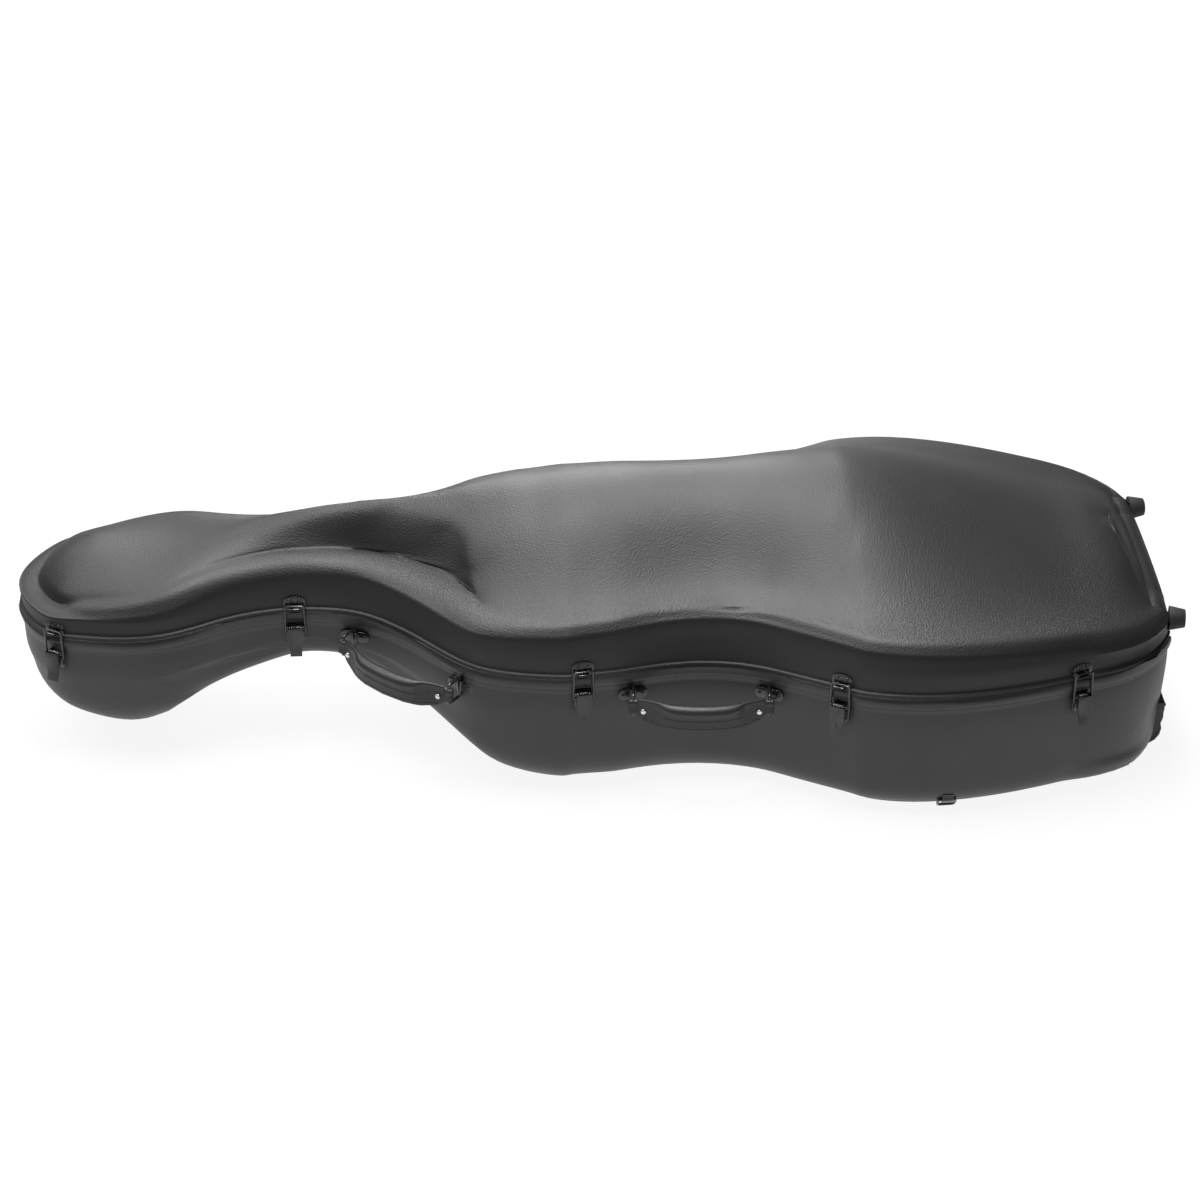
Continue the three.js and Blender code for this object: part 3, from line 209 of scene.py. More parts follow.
tree.links.new(dark_front.outputs["Result"], paint.inputs["Color"])
tree.links.new(floor_place.outputs["Object"], away.inputs[0])
tree.links.new(away.outputs["Value"], near_floor.inputs["Value"])
tree.links.new(near_floor.outputs["Result"], mirrored.inputs[0])
tree.links.new(light_path.outputs["Is Glossy Ray"], mirrored.inputs[1])
tree.links.new(light_path.outputs["Is Camera Ray"], seen_or_mirrored.inputs[0])
tree.links.new(mirrored.outputs["Value"], seen_or_mirrored.inputs[1])
tree.links.new(seen_or_mirrored.outputs["Value"], share_of_glow.inputs[0])
tree.links.new(share_of_glow.outputs["Value"], blend_floor.inputs["Fac"])
tree.links.new(paint.outputs["BSDF"], blend_floor.inputs[1])
tree.links.new(glow.outputs["Emission"], blend_floor.inputs[2])
tree.links.new(blend_floor.outputs["Shader"], output.inputs["Surface"])
floor.data.materials.append(floor_finish)

# %% [markdown]
# ## Finishes
# Each finish is one shader with a pattern in object coordinates for its
# grain. The pattern drives a bump and a little of the roughness, so that the
# sheen breaks up as it does on the real surface. A picture could hold the
# grain too, but nodes keep it sharp at any distance.


# %% A finish with a grain
def new_finish(name, colour, roughness, metallic=0.0):
    """A material with one shader, set to a plain colour."""
    made = bpy.data.materials.new(name)
    made.use_nodes = True
    shader = made.node_tree.nodes["Principled BSDF"]
    shader.inputs["Base Color"].default_value = (*colour, 1)
    shader.inputs["Roughness"].default_value = roughness
    shader.inputs["Metallic"].default_value = metallic
    return made


def add_node(made, kind, **values):
    """Adds a node to a finish and sets its named inputs."""
    node = made.node_tree.nodes.new(kind)
    for name, value in values.items():
        node.inputs[name.replace("_", " ").title()].default_value = value
    return node


def join_nodes(made, source, output_name, target, input_name):
    made.node_tree.links.new(source.outputs[output_name], target.inputs[input_name])


def object_place(made):
    """The node that gives the place on the object."""
    return add_node(made, "ShaderNodeTexCoord")


def noise_on(made, cell, detail=3.0):
    """Noise whose blotches are about one cell wide."""
    noise = add_node(made, "ShaderNodeTexNoise", Scale=1 / cell, Detail=detail)
    join_nodes(made, object_place(made), "Object", noise, "Vector")
    return noise


def cells_on(made, cell):
    """Rounded cells, like the pebbles of moulded plastic or leather."""
    cells = add_node(made, "ShaderNodeTexVoronoi", Scale=1 / cell)
    cells.feature = "SMOOTH_F1"
    cells.inputs["Smoothness"].default_value = 0.6
    join_nodes(made, object_place(made), "Object", cells, "Vector")
    return cells


def raise_bump(made, pattern, output_name, height, strength, under=None):
    """Raises the surface by a pattern, over another bump if one is given."""
    bump = add_node(made, "ShaderNodeBump", Strength=strength, Distance=height)
    join_nodes(made, pattern, output_name, bump, "Height")
    if under is not None:
        join_nodes(made, under, "Normal", bump, "Normal")
    shader = made.node_tree.nodes["Principled BSDF"]
    join_nodes(made, bump, "Normal", shader, "Normal")
    return bump


def vary_roughness(made, pattern, output_name, low, high):
    """Spreads the roughness between two values by a pattern."""
    spread = add_node(made, "ShaderNodeMapRange")
    spread.inputs["To Min"].default_value = low
    spread.inputs["To Max"].default_value = high
    join_nodes(made, pattern, output_name, spread, "Value")
    shader = made.node_tree.nodes["Principled BSDF"]
    join_nodes(made, spread, "Result", shader, "Roughness")


def vary_colour(made, pattern, output_name, dark, light):
    """Spreads the colour between two tones by a pattern."""
    ramp = add_node(made, "ShaderNodeValToRGB")
    ramp.color_ramp.elements[0].color = (*dark, 1)
    ramp.color_ramp.elements[1].color = (*light, 1)
    join_nodes(made, pattern, output_name, ramp, "Fac")
    shader = made.node_tree.nodes["Principled BSDF"]
    join_nodes(made, ramp, "Color", shader, "Base Color")


# %% [markdown]
# The lid is moulded in a pebbled tool: small rounded pebbles on the crown,
# which fade out towards the satin side walls. How much pebble a point has is
# kept on the mesh as an attribute called grain, so the same finish can serve
# crown and wall.

# %% Shell finishes
shell_black = (0.009, 0.009, 0.0095)

lid_finish = new_finish("pebbled_black_plastic", shell_black, 0.42)
pebbles = cells_on(lid_finish, 1.9 * mm)
grain_share = add_node(lid_finish, "ShaderNodeAttribute")
grain_share.attribute_name = "grain"
pebble_height = add_node(lid_finish, "ShaderNodeMath")
pebble_height.operation = "MULTIPLY"
join_nodes(lid_finish, pebbles, "Distance", pebble_height, 0)
join_nodes(lid_finish, grain_share, "Fac", pebble_height, 1)
fine_speck = noise_on(lid_finish, 0.9 * mm, 2.0)
speck_bump = raise_bump(lid_finish, fine_speck, "Fac", 0.05 * mm, 0.3)
raise_bump(lid_finish, pebble_height, "Value", 0.35 * mm, 0.8, under=speck_bump)
vary_roughness(lid_finish, noise_on(lid_finish, 60 * mm), "Fac", 0.46, 0.56)

base_finish = new_finish("satin_black_plastic", shell_black, 0.45)
base_finish.node_tree.nodes["Principled BSDF"].inputs["Specular IOR Level"].default_value = 0.75
raise_bump(base_finish, noise_on(base_finish, 0.8 * mm, 2.0), "Fac", 0.05 * mm, 0.3)
vary_roughness(base_finish, noise_on(base_finish, 50 * mm), "Fac", 0.42, 0.52)
print("shell finishes:", lid_finish.name, base_finish.name)

# %% [markdown]
# The latches, rings, brackets and hinges are pressed steel with a thick gloss
# black coat. The handle rivets are bare bright metal.

# %% Metal finishes
coated_metal = new_finish("gloss_black_coat", (0.010, 0.010, 0.011), 0.24)
coat = coated_metal.node_tree.nodes["Principled BSDF"]
coat.inputs["Coat Weight"].default_value = 0.6
coat.inputs["Coat Roughness"].default_value = 0.12
raise_bump(coated_metal, noise_on(coated_metal, 1.4 * mm, 2.0), "Fac", 0.03 * mm, 0.3)
vary_roughness(coated_metal, noise_on(coated_metal, 9 * mm), "Fac", 0.2, 0.32)

bright_metal = new_finish("bright_rivet_metal", (0.78, 0.78, 0.79), 0.28, 1.0)
vary_roughness(bright_metal, noise_on(bright_metal, 0.7 * mm), "Fac", 0.22, 0.36)

pin_metal = new_finish("plain_pin_steel", (0.5, 0.5, 0.51), 0.35, 1.0)
vary_roughness(pin_metal, noise_on(pin_metal, 0.6 * mm), "Fac", 0.28, 0.42)

# %% [markdown]
# The grips are wrapped in black leather with a fine grain. Feet, wheels and
# the rim seal are rubber, and the wheel housings and bow clips are moulded
# plastic.

# %% Leather, rubber and moulded plastic
grip_leather = new_finish("black_grip_leather", (0.016, 0.016, 0.017), 0.45)
creases = raise_bump(grip_leather, noise_on(grip_leather, 7 * mm, 4.0), "Fac", 0.4 * mm, 0.25)
raise_bump(grip_leather, cells_on(grip_leather, 0.9 * mm), "Distance", 0.18 * mm, 0.5, under=creases)
vary_roughness(grip_leather, noise_on(grip_leather, 5 * mm), "Fac", 0.38, 0.56)

black_rubber = new_finish("black_rubber", (0.016, 0.016, 0.016), 0.62)
raise_bump(black_rubber, noise_on(black_rubber, 0.8 * mm, 3.0), "Fac", 0.08 * mm, 0.4)
vary_roughness(black_rubber, noise_on(black_rubber, 8 * mm), "Fac", 0.54, 0.74)

moulded_plastic = new_finish("moulded_black_plastic", (0.014, 0.014, 0.015), 0.42)
raise_bump(moulded_plastic, noise_on(moulded_plastic, 1.1 * mm, 2.0), "Fac", 0.05 * mm, 0.35)
vary_roughness(moulded_plastic, noise_on(moulded_plastic, 12 * mm), "Fac", 0.36, 0.5)

thread_black = new_finish("black_thread", (0.02, 0.02, 0.02), 0.6)
raise_bump(thread_black, noise_on(thread_black, 0.3 * mm, 2.0), "Fac", 0.05 * mm, 0.5)

# %% [markdown]
# Inside, the case is lined with grey plush over foam. Plush is a pile of short
# fibres: it has a soft sheen at grazing angles and no gloss. The strap that
# holds the neck is woven webbing.

# %% Fabrics
plush = new_finish("grey_plush", (0.075, 0.08, 0.088), 0.95)
pile = plush.node_tree.nodes["Principled BSDF"]
pile.inputs["Sheen Weight"].default_value = 0.5
pile.inputs["Sheen Roughness"].default_value = 0.4
pile_lie = raise_bump(plush, noise_on(plush, 22 * mm, 3.0), "Fac", 1.2 * mm, 0.3)
raise_bump(plush, noise_on(plush, 0.9 * mm, 3.0), "Fac", 0.5 * mm, 0.6, under=pile_lie)
vary_colour(plush, noise_on(plush, 30 * mm), "Fac", (0.062, 0.066, 0.073), (0.098, 0.104, 0.112))

webbing = new_finish("black_webbing", (0.025, 0.025, 0.027), 0.8)
weave = add_node(webbing, "ShaderNodeTexWave", Scale=1 / (5 * mm), Distortion=0.4)
weave.bands_direction = "DIAGONAL"
join_nodes(webbing, object_place(webbing), "Object", weave, "Vector")
raise_bump(webbing, weave, "Fac", 0.4 * mm, 0.6)
vary_roughness(webbing, weave, "Fac", 0.7, 0.9)
print("finishes:", len(bpy.data.materials))

# %% [markdown]
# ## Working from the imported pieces
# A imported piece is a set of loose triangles, and it is never changed. A copy
# of its mesh is, so each piece starts as a copy whose corners are merged.
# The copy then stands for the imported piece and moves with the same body.

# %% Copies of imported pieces
piece_finish = {
    "base_shell": base_finish,
    "lid_shell": lid_finish,
    "seal_rubber": black_rubber,
    "housing_plastic": moulded_plastic,
    "pin_steel": pin_metal,
    "wheel_rubber": black_rubber,
    "foot_rubber": black_rubber,
    "grip_leather": grip_leather,
    "strap_fabric": webbing,
    "pouch_fabric": plush,
    "plush": plush,
    "clip_plastic": moulded_plastic,
    "hardware_metal": coated_metal,
}


def work_on(piece):
    """Deselects everything and makes one piece the active one."""
    bpy.ops.object.select_all(action="DESELECT")
    piece.select_set(True)
    bpy.context.view_layer.objects.active = piece


def edit_all(piece):
    """Opens a piece in edit mode with all of it selected."""
    work_on(piece)
    bpy.ops.object.mode_set(mode="EDIT")
    bpy.ops.mesh.select_all(action="SELECT")


def close_edit():
    bpy.ops.object.mode_set(mode="OBJECT")


def copy_of(node):
    """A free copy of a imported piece, with its triangles joined at their corners."""
    piece = bpy.data.objects.new(f"{node}_dressed", nodes[node].data.copy())
    bpy.context.collection.objects.link(piece)
    edit_all(piece)
    bpy.ops.mesh.remove_doubles(threshold=0.02 * mm)
    close_edit()
    return piece


def stand_for(piece, node):
    """The copy takes the place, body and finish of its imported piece."""
    slot = slot_of_node[node]
    piece.data.materials.clear()
    piece.data.materials.append(piece_finish[slot])
    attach(piece, body_of_node[node])
    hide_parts(node)
    return piece


def smooth_shade(piece, angle):
    work_on(piece)
    bpy.ops.object.shade_smooth_by_angle(angle=math.radians(angle))


# %% [markdown]
# Rounded forms such as the shells come as flat facets. A subdivision surface
# rounds them, but it also shrinks away from the corners that it is given. So
# the cage is moved out by what the surface falls short, a few times over,
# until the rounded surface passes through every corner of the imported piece.


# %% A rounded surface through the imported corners
def points_of(mesh, count=None):
    count = len(mesh.vertices) if count is None else count
    flat = np.zeros(len(mesh.vertices) * 3)
    mesh.vertices.foreach_get("co", flat)
    return flat.reshape(-1, 3)[:count]


def normals_of(mesh):
    flat = np.zeros(len(mesh.vertices) * 3)
    mesh.vertices.foreach_get("normal", flat)
    return flat.reshape(-1, 3)


def set_points(mesh, places):
    mesh.vertices.foreach_set("co", places.ravel())
    mesh.update()


def round_off(piece, levels=2, crease_angle=38, passes=4):
    """Subdivides a piece smoothly and keeps it on its own corners."""
    edit_all(piece)
    bpy.ops.mesh.tris_convert_to_quads(face_threshold=math.radians(60), shape_threshold=math.radians(180))
    bpy.ops.mesh.select_all(action="DESELECT")
    bpy.ops.mesh.edges_select_sharp(sharpness=math.radians(crease_angle))
    bpy.ops.transform.edge_crease(value=1)
    close_edit()
    smoother = piece.modifiers.new("rounding", "SUBSURF")
    smoother.levels = smoother.render_levels = levels
    wanted = points_of(piece.data).copy()
    cage = wanted.copy()
    for _ in range(passes):
        depsgraph = bpy.context.evaluated_depsgraph_get()
        rounded = piece.evaluated_get(depsgraph).to_mesh()
        cage += wanted - points_of(rounded, len(wanted))
        set_points(piece.data, cage)
    work_on(piece)
    bpy.ops.object.modifier_apply(modifier=smoother.name)


# %% [markdown]
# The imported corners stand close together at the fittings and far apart
# elsewhere, and a gloss surface shows such a change as a kink. Fairing takes
# it out: every point moves to the middle of its two neighbours on the ring
# round the case, and then back a little further, so that waves go and the
# size stays. Across the rings nothing moves, so the bead keeps its profile.

# %% Fairing round the case
case_half = (cad_high[0] - cad_low[0]) / 2
spine_from, spine_to = -case_half + 95 * mm, case_half - 60 * mm


def ring_neighbours(piece):
    """The two neighbours of each corner on the ring round the case."""
    grid = bmesh.new()
    grid.from_mesh(piece.data)
    found = np.full((len(grid.verts), 2), -1)
    for corner in grid.verts:
        faces = corner.link_faces
        if len(corner.link_edges) != 4 or len(faces) != 4 or any(len(face.verts) != 4 for face in faces):
            continue
        first = corner.link_edges[0]
        beside = set(first.link_faces)
        facing = next(edge for edge in corner.link_edges if not beside & set(edge.link_faces))
        others = [edge for edge in corner.link_edges if edge not in (first, facing)]
        spine = Vector((min(max(corner.co.x, spine_from), spine_to), 0, 0))
        inward = spine - Vector((corner.co.x, corner.co.y, 0))
        if inward.length < 1 * mm:
            inward = Vector((0, 1, 0))
        round_case = Vector((-inward.y, inward.x, 0)).normalized()
        couples = [[edge.other_vert(corner) for edge in couple] for couple in ((first, facing), others)]
        couples.sort(key=lambda couple: abs((couple[0].co - couple[1].co).normalized().dot(round_case)))
        found[corner.index] = [one.index for one in couples[1]]
    grid.free()
    return found


def fair(piece, passes, share=None):
    """Takes the waves out of a shell and keeps its size."""
    pairs = ring_neighbours(piece)
    free = pairs[:, 0] >= 0
    weight = free.astype(float) if share is None else free * share
    points = points_of(piece.data).copy()
    start = points.copy()
    for _ in range(passes):
        for step in (0.5, -0.53):
            middle = (points[pairs[:, 0]] + points[pairs[:, 1]]) / 2
            points += step * weight[:, None] * (middle - points)
    set_points(piece.data, points)
    return np.linalg.norm(points - start, axis=1).max()


def away_from_pockets(points):
    """One on the open wall and nothing round the two wheel pockets."""
    aside = np.abs(np.abs(points[:, 1]) - 113 * mm) / mm
    near = (points[:, 0] > case_half - 75 * mm) & (points[:, 2] < 85 * mm) & (aside < 45)
    return np.where(near, 0.0, 1.0)


# %% [markdown]
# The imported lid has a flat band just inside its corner. On the real lid the
# crown starts to rise at the corner itself, as plastic does when it is drawn
# over a domed tool. The band is raised by its distance from the wall, most at
# 20 mm from it, more at the scroll and hardly at the sunk shoulder ledge. Then
# Blender's smoothing operator evens out the crown and the base's scroll end.

# %% Raising the brim and softening
brim_peak = 20 * mm
brim_lift, scroll_extra_lift = 4.5, 2
ledge_middle, ledge_spread = -0.18, 0.09
parting_height, parting_rise = 0.165, 0.018
scroll_middle = -0.57


def fill_brim(piece, crown, wall):
    """Raises the flat band just inside the corner, so that the crown starts at the corner."""
    points = points_of(piece.data).copy()
    tree = KDTree(int(wall.sum()))
    for number, place in enumerate(points[wall]):
        tree.insert((place[0], place[1], 0), number)
    tree.balance()
    inside = np.array([tree.find((place[0], place[1], 0))[2] for place in points[crown]]) / brim_peak
    along = points[crown, 0]
    ledge = np.exp(-((along - ledge_middle) / ledge_spread) ** 2)
    scroll = np.clip((-0.3 - along) / 0.12, 0, 1)
    lift = (brim_lift + scroll_extra_lift * scroll) * (1 - 0.9 * ledge) * inside * np.exp(1 - inside) * mm
    points[crown, 2] += lift
    set_points(piece.data, points)
    return lift.max()


def soften(piece, chosen, repeats):
    """Smooths the chosen corners of a shell with Blender's own operator."""
    edit_all(piece)
    bpy.ops.mesh.select_mode(type="VERT")
    bpy.ops.mesh.select_all(action="DESELECT")
    close_edit()
    piece.data.vertices.foreach_set("select", chosen)
    bpy.ops.object.mode_set(mode="EDIT")
    bpy.ops.mesh.vertices_smooth(factor=0.5, repeat=repeats)
    close_edit()


def soften_crown(shell):
    """Fills the brim of the lid and smooths its crown, apart from the shoulder ledge."""
    points, upward = points_of(shell.data), normals_of(shell.data)[:, 2]
    parting = parting_height + parting_rise * np.clip((points[:, 0] + 0.05) / -0.28, 0, 1)
    crown = (upward > 0.05) & (points[:, 2] - parting > 12 * mm)
    raised = fill_brim(shell, crown, np.abs(upward) < 0.2)
    soften(shell, crown & ((points[:, 0] < -0.27) | (points[:, 0] > -0.08)), 6)
    print("brim filled by", round(raised / mm, 2), "mm at most")


def soften_scroll_end(shell):
    """Smooths the outside of the base's scroll end, below the bead."""
    points, normals = points_of(shell.data), normals_of(shell.data)
    beyond = points[:, 0] - scroll_middle
    outward = normals[:, 0] * beyond + normals[:, 1] * points[:, 1]
    outside = (outward > 0.3 * np.hypot(beyond, points[:, 1])) | (normals[:, 2] < -0.5)
    soften(shell, outside & (points[:, 0] < -0.5) & (points[:, 2] < 0.158), 12)


# %% The shells
for node in ("base_shell", "lid_shell"):
    shell = copy_of(node)
    low, high = points_of(shell.data).min(axis=0), points_of(shell.data).max(axis=0)
    round_off(shell)
    moved = fair(shell, 60, share=away_from_pockets(points_of(shell.data)))
    if node == "lid_shell":
        soften_crown(shell)
    else:
        soften_scroll_end(shell)
    set_points(shell.data, np.clip(points_of(shell.data), low, high))
    smooth_shade(shell, 40)
    stand_for(shell, node)
    print(node, "faces:", len(shell.data.polygons), "fairing moved it by", round(moved / mm, 2), "mm at most")

lid = bpy.data.objects["lid_shell_dressed"]
steepness = np.clip((normals_of(lid.data)[:, 2] - 0.12) / 0.4, 0, 1)
grain = lid.data.attributes.new("grain", "FLOAT", "POINT")
grain.data.foreach_set("value", (steepness * steepness * (3 - 2 * steepness)).astype(np.float32))

# %% [markdown]
# ## Hardware
# Pressed and bent metal has no knife edges. Each latch part, bracket and
# hinge leaf gets its flat faces joined up and its corners rolled over by a
# narrow bevel, which is what catches the light. Wires are rounded instead.


# %% Beveled and rounded hardware
def roll_edges(piece, width, segments=2, angle=28):
    """Joins flat faces and bevels the corners between them."""
    edit_all(piece)
    bpy.ops.mesh.dissolve_limited(angle_limit=math.radians(1))
    close_edit()
    bevel = piece.modifiers.new("rolled_edges", "BEVEL")
    bevel.width = width
    bevel.segments = segments
    bevel.limit_method = "ANGLE"
    bevel.angle_limit = math.radians(angle)
    bevel.use_clamp_overlap = True
    work_on(piece)
    bpy.ops.object.modifier_apply(modifier=bevel.name)
    smooth_shade(piece, 35)


def dress_plate(node, width=0.3 * mm):
    piece = copy_of(node)
    roll_edges(piece, width)
    return stand_for(piece, node)


def dress_wire(node, levels=2):
    piece = copy_of(node)
    round_off(piece, levels, crease_angle=75)
    smooth_shade(piece, 60)
    return stand_for(piece, node)


latch_numbers = range(1, 6)
for number in latch_numbers:
    for part in ("keeper", "plate", "lever"):
        dress_plate(f"latch_{number}_{part}")
    dress_wire(f"latch_{number}_bail")
for number in (1, 2):
    for side in ("left", "right"):
        dress_plate(f"handle_{number}_bracket_{side}")
        dress_wire(f"handle_{number}_ring_{side}")
    dress_plate(f"hinge_{number}_base_leaf")
    dress_plate(f"hinge_{number}_lid_leaf")
    dress_plate(f"hinge_{number}_pin", 0.2 * mm)
    dress_plate(f"strap_plate_{number}")
    dress_wire(f"strap_ring_{number}")

# %% [markdown]
# ## Rivets
# Every plate is held by rivets with low domed heads. One head is modelled: a
# short round blank whose top face is inset three times, each time a little
# higher. It is copied to each place, and the place is found by looking along
# a line towards the dressed plate, so that no head hangs over it or sinks in.


# %% One rivet head
def model_rivet(radius, height):
    """A domed rivet head on the origin, with its foot a little below it."""
    bpy.ops.object.select_all(action="DESELECT")
    bpy.ops.mesh.primitive_cylinder_add(
        vertices=16, radius=radius, depth=height, location=(0, 0, height / 2 - 0.4 * mm))
    head = bpy.context.object
    bpy.ops.object.transform_apply(location=True)
    edit_all(head)
    bpy.ops.mesh.select_all(action="DESELECT")
    close_edit()
    top = max(head.data.polygons, key=lambda face: face.center.z)
    top.select = True
    bpy.ops.object.mode_set(mode="EDIT")
    bpy.ops.mesh.select_mode(type="FACE")
    for share, rise in ((0.14, 0.34), (0.2, 0.2), (0.3, 0.1)):
        bpy.ops.mesh.inset(thickness=radius * share, depth=height * rise)
    close_edit()
    smooth_shade(head, 50)
    return head


def turn_to(out):
    """The turn that points a head's z axis out of a surface."""
    return Vector(out).to_track_quat("Z", "Y").to_matrix().to_4x4()


def seat_on(target, place, out, reach=60 * mm):
    """The point and normal met when looking back along a line at a piece."""
    tree = seat_trees.get(target)
    if tree is None:
        mesh = bpy.data.objects[target].data
        corners = [corner.co for corner in mesh.vertices]
        tree = BVHTree.FromPolygons(corners, [face.vertices for face in mesh.polygons])
        seat_trees[target] = tree
    point, normal, _, _ = tree.ray_cast(Vector(place) + Vector(out) * reach, -Vector(out), 3 * reach)
    return point, normal


seat_trees = {}
rivet_small = model_rivet(2.1 * mm, 1.3 * mm)
rivet_wide = model_rivet(3.3 * mm, 1.6 * mm)
for blank in (rivet_small, rivet_wide):
    blank.name = "rivet_blank"


def join_as(name, copies, finish, body):
    """Joins copies into one named piece that rides on a body."""
    bpy.ops.object.select_all(action="DESELECT")
    for one in copies:
        one.select_set(True)
    bpy.context.view_layer.objects.active = copies[0]
    if len(copies) > 1:
        bpy.ops.object.join()
    made = bpy.context.object
    made.name = name
    made.data.materials.clear()
    made.data.materials.append(finish)
    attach(made, body)
    return made


def set_rivets(name, target, places, out, body, blank=None, finish=None):
    """Sets rivet heads on a dressed piece, as one piece of their own."""
    heads = []
    for place in places:
        point, normal = seat_on(target, place, out)
        if point is None:
            print("no seat for", name)
            continue
        head = bpy.data.objects.new(name, (blank or rivet_small).data.copy())
        bpy.context.collection.objects.link(head)
        head.data.transform(Matrix.Translation(point) @ turn_to(out))
        heads.append(head)
    return join_as(name, heads, finish or coated_metal, body)


# %% Rivets on the keepers
up = Vector((0, 0, 1))
latch_frames = {}
for number in latch_numbers:
    joint = joints[f"latch_{number}_lever_turn"]
    axis = Vector(joint["axis"])
    out = up.cross(axis)
    origin = Vector(joint["pos_m"]) - out * 3.4 * mm + up * 20 * mm
    latch_frames[number] = (origin, axis, out)
    places = [origin + axis * side * 5.9 * mm + up * 14.8 * mm for side in (-1, 1)]
    set_rivets(f"latch_{number}_keeper_rivets", f"latch_{number}_keeper_dressed", places, out, "lid")


# %% [markdown]
# The brackets, hinge leaves and strap plates are long flat strips. The long
# way of a strip is where its corners spread the most, and out is level and
# square to that, away from the middle of the case.


# %% Rivets on brackets, hinges and strap plates
def strip_frame(node):
    """Middle, long way and outward way of a flat strip."""
    points = points_of(nodes[node].data)
    middle = (points.max(axis=0) + points.min(axis=0)) / 2
    flat = points[:, :2] - points[:, :2].mean(axis=0)
    _, _, ways = np.linalg.svd(flat, full_matrices=False)
    axis = Vector((ways[0][0], ways[0][1], 0))
    out = Vector((-axis.y, axis.x, 0))
    if out.y * middle[1] < 0:
        out.negate()
    return Vector(middle), axis, out


for number in (1, 2):
    for side in ("left", "right"):
        node = f"handle_{number}_bracket_{side}"
        middle, axis, out = strip_frame(node)
        places = [middle + axis * way * 12.2 * mm for way in (-1, 1)]
        set_rivets(f"{node}_rivets", f"{node}_dressed", places, out, "base")
    for part, heights, body in (("base", (-31, -24), "base"), ("lid", (14.6,), "lid")):
        node = f"hinge_{number}_{part}_leaf"
        middle, axis, out = strip_frame(node)
        pin_height = joints["lid_hinge"]["pos_m"][2]
        middle.z = pin_height
        places = [middle + axis * way * 21 * mm + up * height * mm
                  for height in heights for way in (-1, 0, 1)]
        set_rivets(f"{node}_rivets", f"{node}_dressed", places, out, body)

# %% [markdown]
# A small coil spring sits on each lever pin and presses the lever shut. It is
# a round wire that the screw operator winds along the pin, and the pin ends
# are closed by heads.


# %% Springs and pin heads of the latches
def wind_spring(length, radius, wire, turns):
    """A coil along the x axis, about the origin."""
    bpy.ops.object.select_all(action="DESELECT")
    bpy.ops.mesh.primitive_circle_add(
        vertices=8, radius=wire / 2, location=(radius, 0, 0), rotation=(math.radians(90), 0, 0))
    coil = bpy.context.object
    bpy.ops.object.transform_apply(location=True, rotation=True)
    screw = coil.modifiers.new("winding", "SCREW")
    screw.axis = "Z"
    screw.steps = screw.render_steps = 14
    screw.iterations = turns
    screw.screw_offset = length / turns
    screw.use_normal_calculate = True
    bpy.ops.object.modifier_apply(modifier=screw.name)
    coil.data.transform(Matrix.Rotation(math.radians(90), 4, "Y") @ Matrix.Translation((0, 0, -length / 2)))
    edit_all(coil)
    bpy.ops.mesh.fill_holes(sides=8)
    bpy.ops.mesh.normals_make_consistent(inside=False)
    close_edit()
    smooth_shade(coil, 60)
    return coil


spring_blank = wind_spring(10.4 * mm, 2.3 * mm, 1.1 * mm, 6)
for number in latch_numbers:
    origin, axis, out = latch_frames[number]
    pivot = Vector(joints[f"latch_{number}_lever_turn"]["pos_m"])
    columns = Matrix((axis, out, up)).transposed().to_4x4()
    spring = bpy.data.objects.new("spring", spring_blank.data.copy())
    bpy.context.collection.objects.link(spring)
    spring.data.transform(Matrix.Translation(pivot) @ columns)
    join_as(f"latch_{number}_spring", [spring], pin_metal, "base")
    heads = []
    for side in (-1, 1):
        head = bpy.data.objects.new("head", rivet_small.data.copy())
        bpy.context.collection.objects.link(head)
        head.data.transform(Matrix.Translation(pivot + axis * side * 9 * mm) @ turn_to(axis * side))
        heads.append(head)
    join_as(f"latch_{number}_pin_heads", heads, coated_metal, "base")

# %% [markdown]
# ## Carrying handles
# Each handle is a flat leather strap with a padded roll along its top edge.
# Its ends fold round the wire rings and are closed by one bright rivet each,
# and black thread runs under the roll and along the lower edge. The rounded
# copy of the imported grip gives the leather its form. The stitches are copies
# of one short thread, laid where a line of sight meets the leather.


# %% The grips
def stretch_of(values, step):
    """Evenly spaced places from the first value to the last."""
    count = max(int(round((values[-1] - values[0]) / step)), 1)
    return np.linspace(values[0], values[-1], count + 1)


def model_stitch(length, radius):
    """One stitch along the z axis: a short thread with tapered ends."""
    bpy.ops.object.select_all(action="DESELECT")
    bpy.ops.mesh.primitive_cylinder_add(vertices=6, radius=radius, depth=length * 0.6)
    thread = bpy.context.object
    for end in (0, 1):
        edit_all(thread)
        bpy.ops.mesh.select_all(action="DESELECT")
        close_edit()
        pick = max if end else min
        pick(thread.data.polygons, key=lambda face: face.center.z).select = True
        bpy.ops.object.mode_set(mode="EDIT")
        bpy.ops.mesh.select_mode(type="FACE")
        bpy.ops.mesh.inset(thickness=radius * 0.5, depth=length * 0.2)
        close_edit()
    smooth_shade(thread, 60)
    return thread


stitch_blank = model_stitch(2.3 * mm, 0.42 * mm)
stitch_blank.name = "stitch_blank"


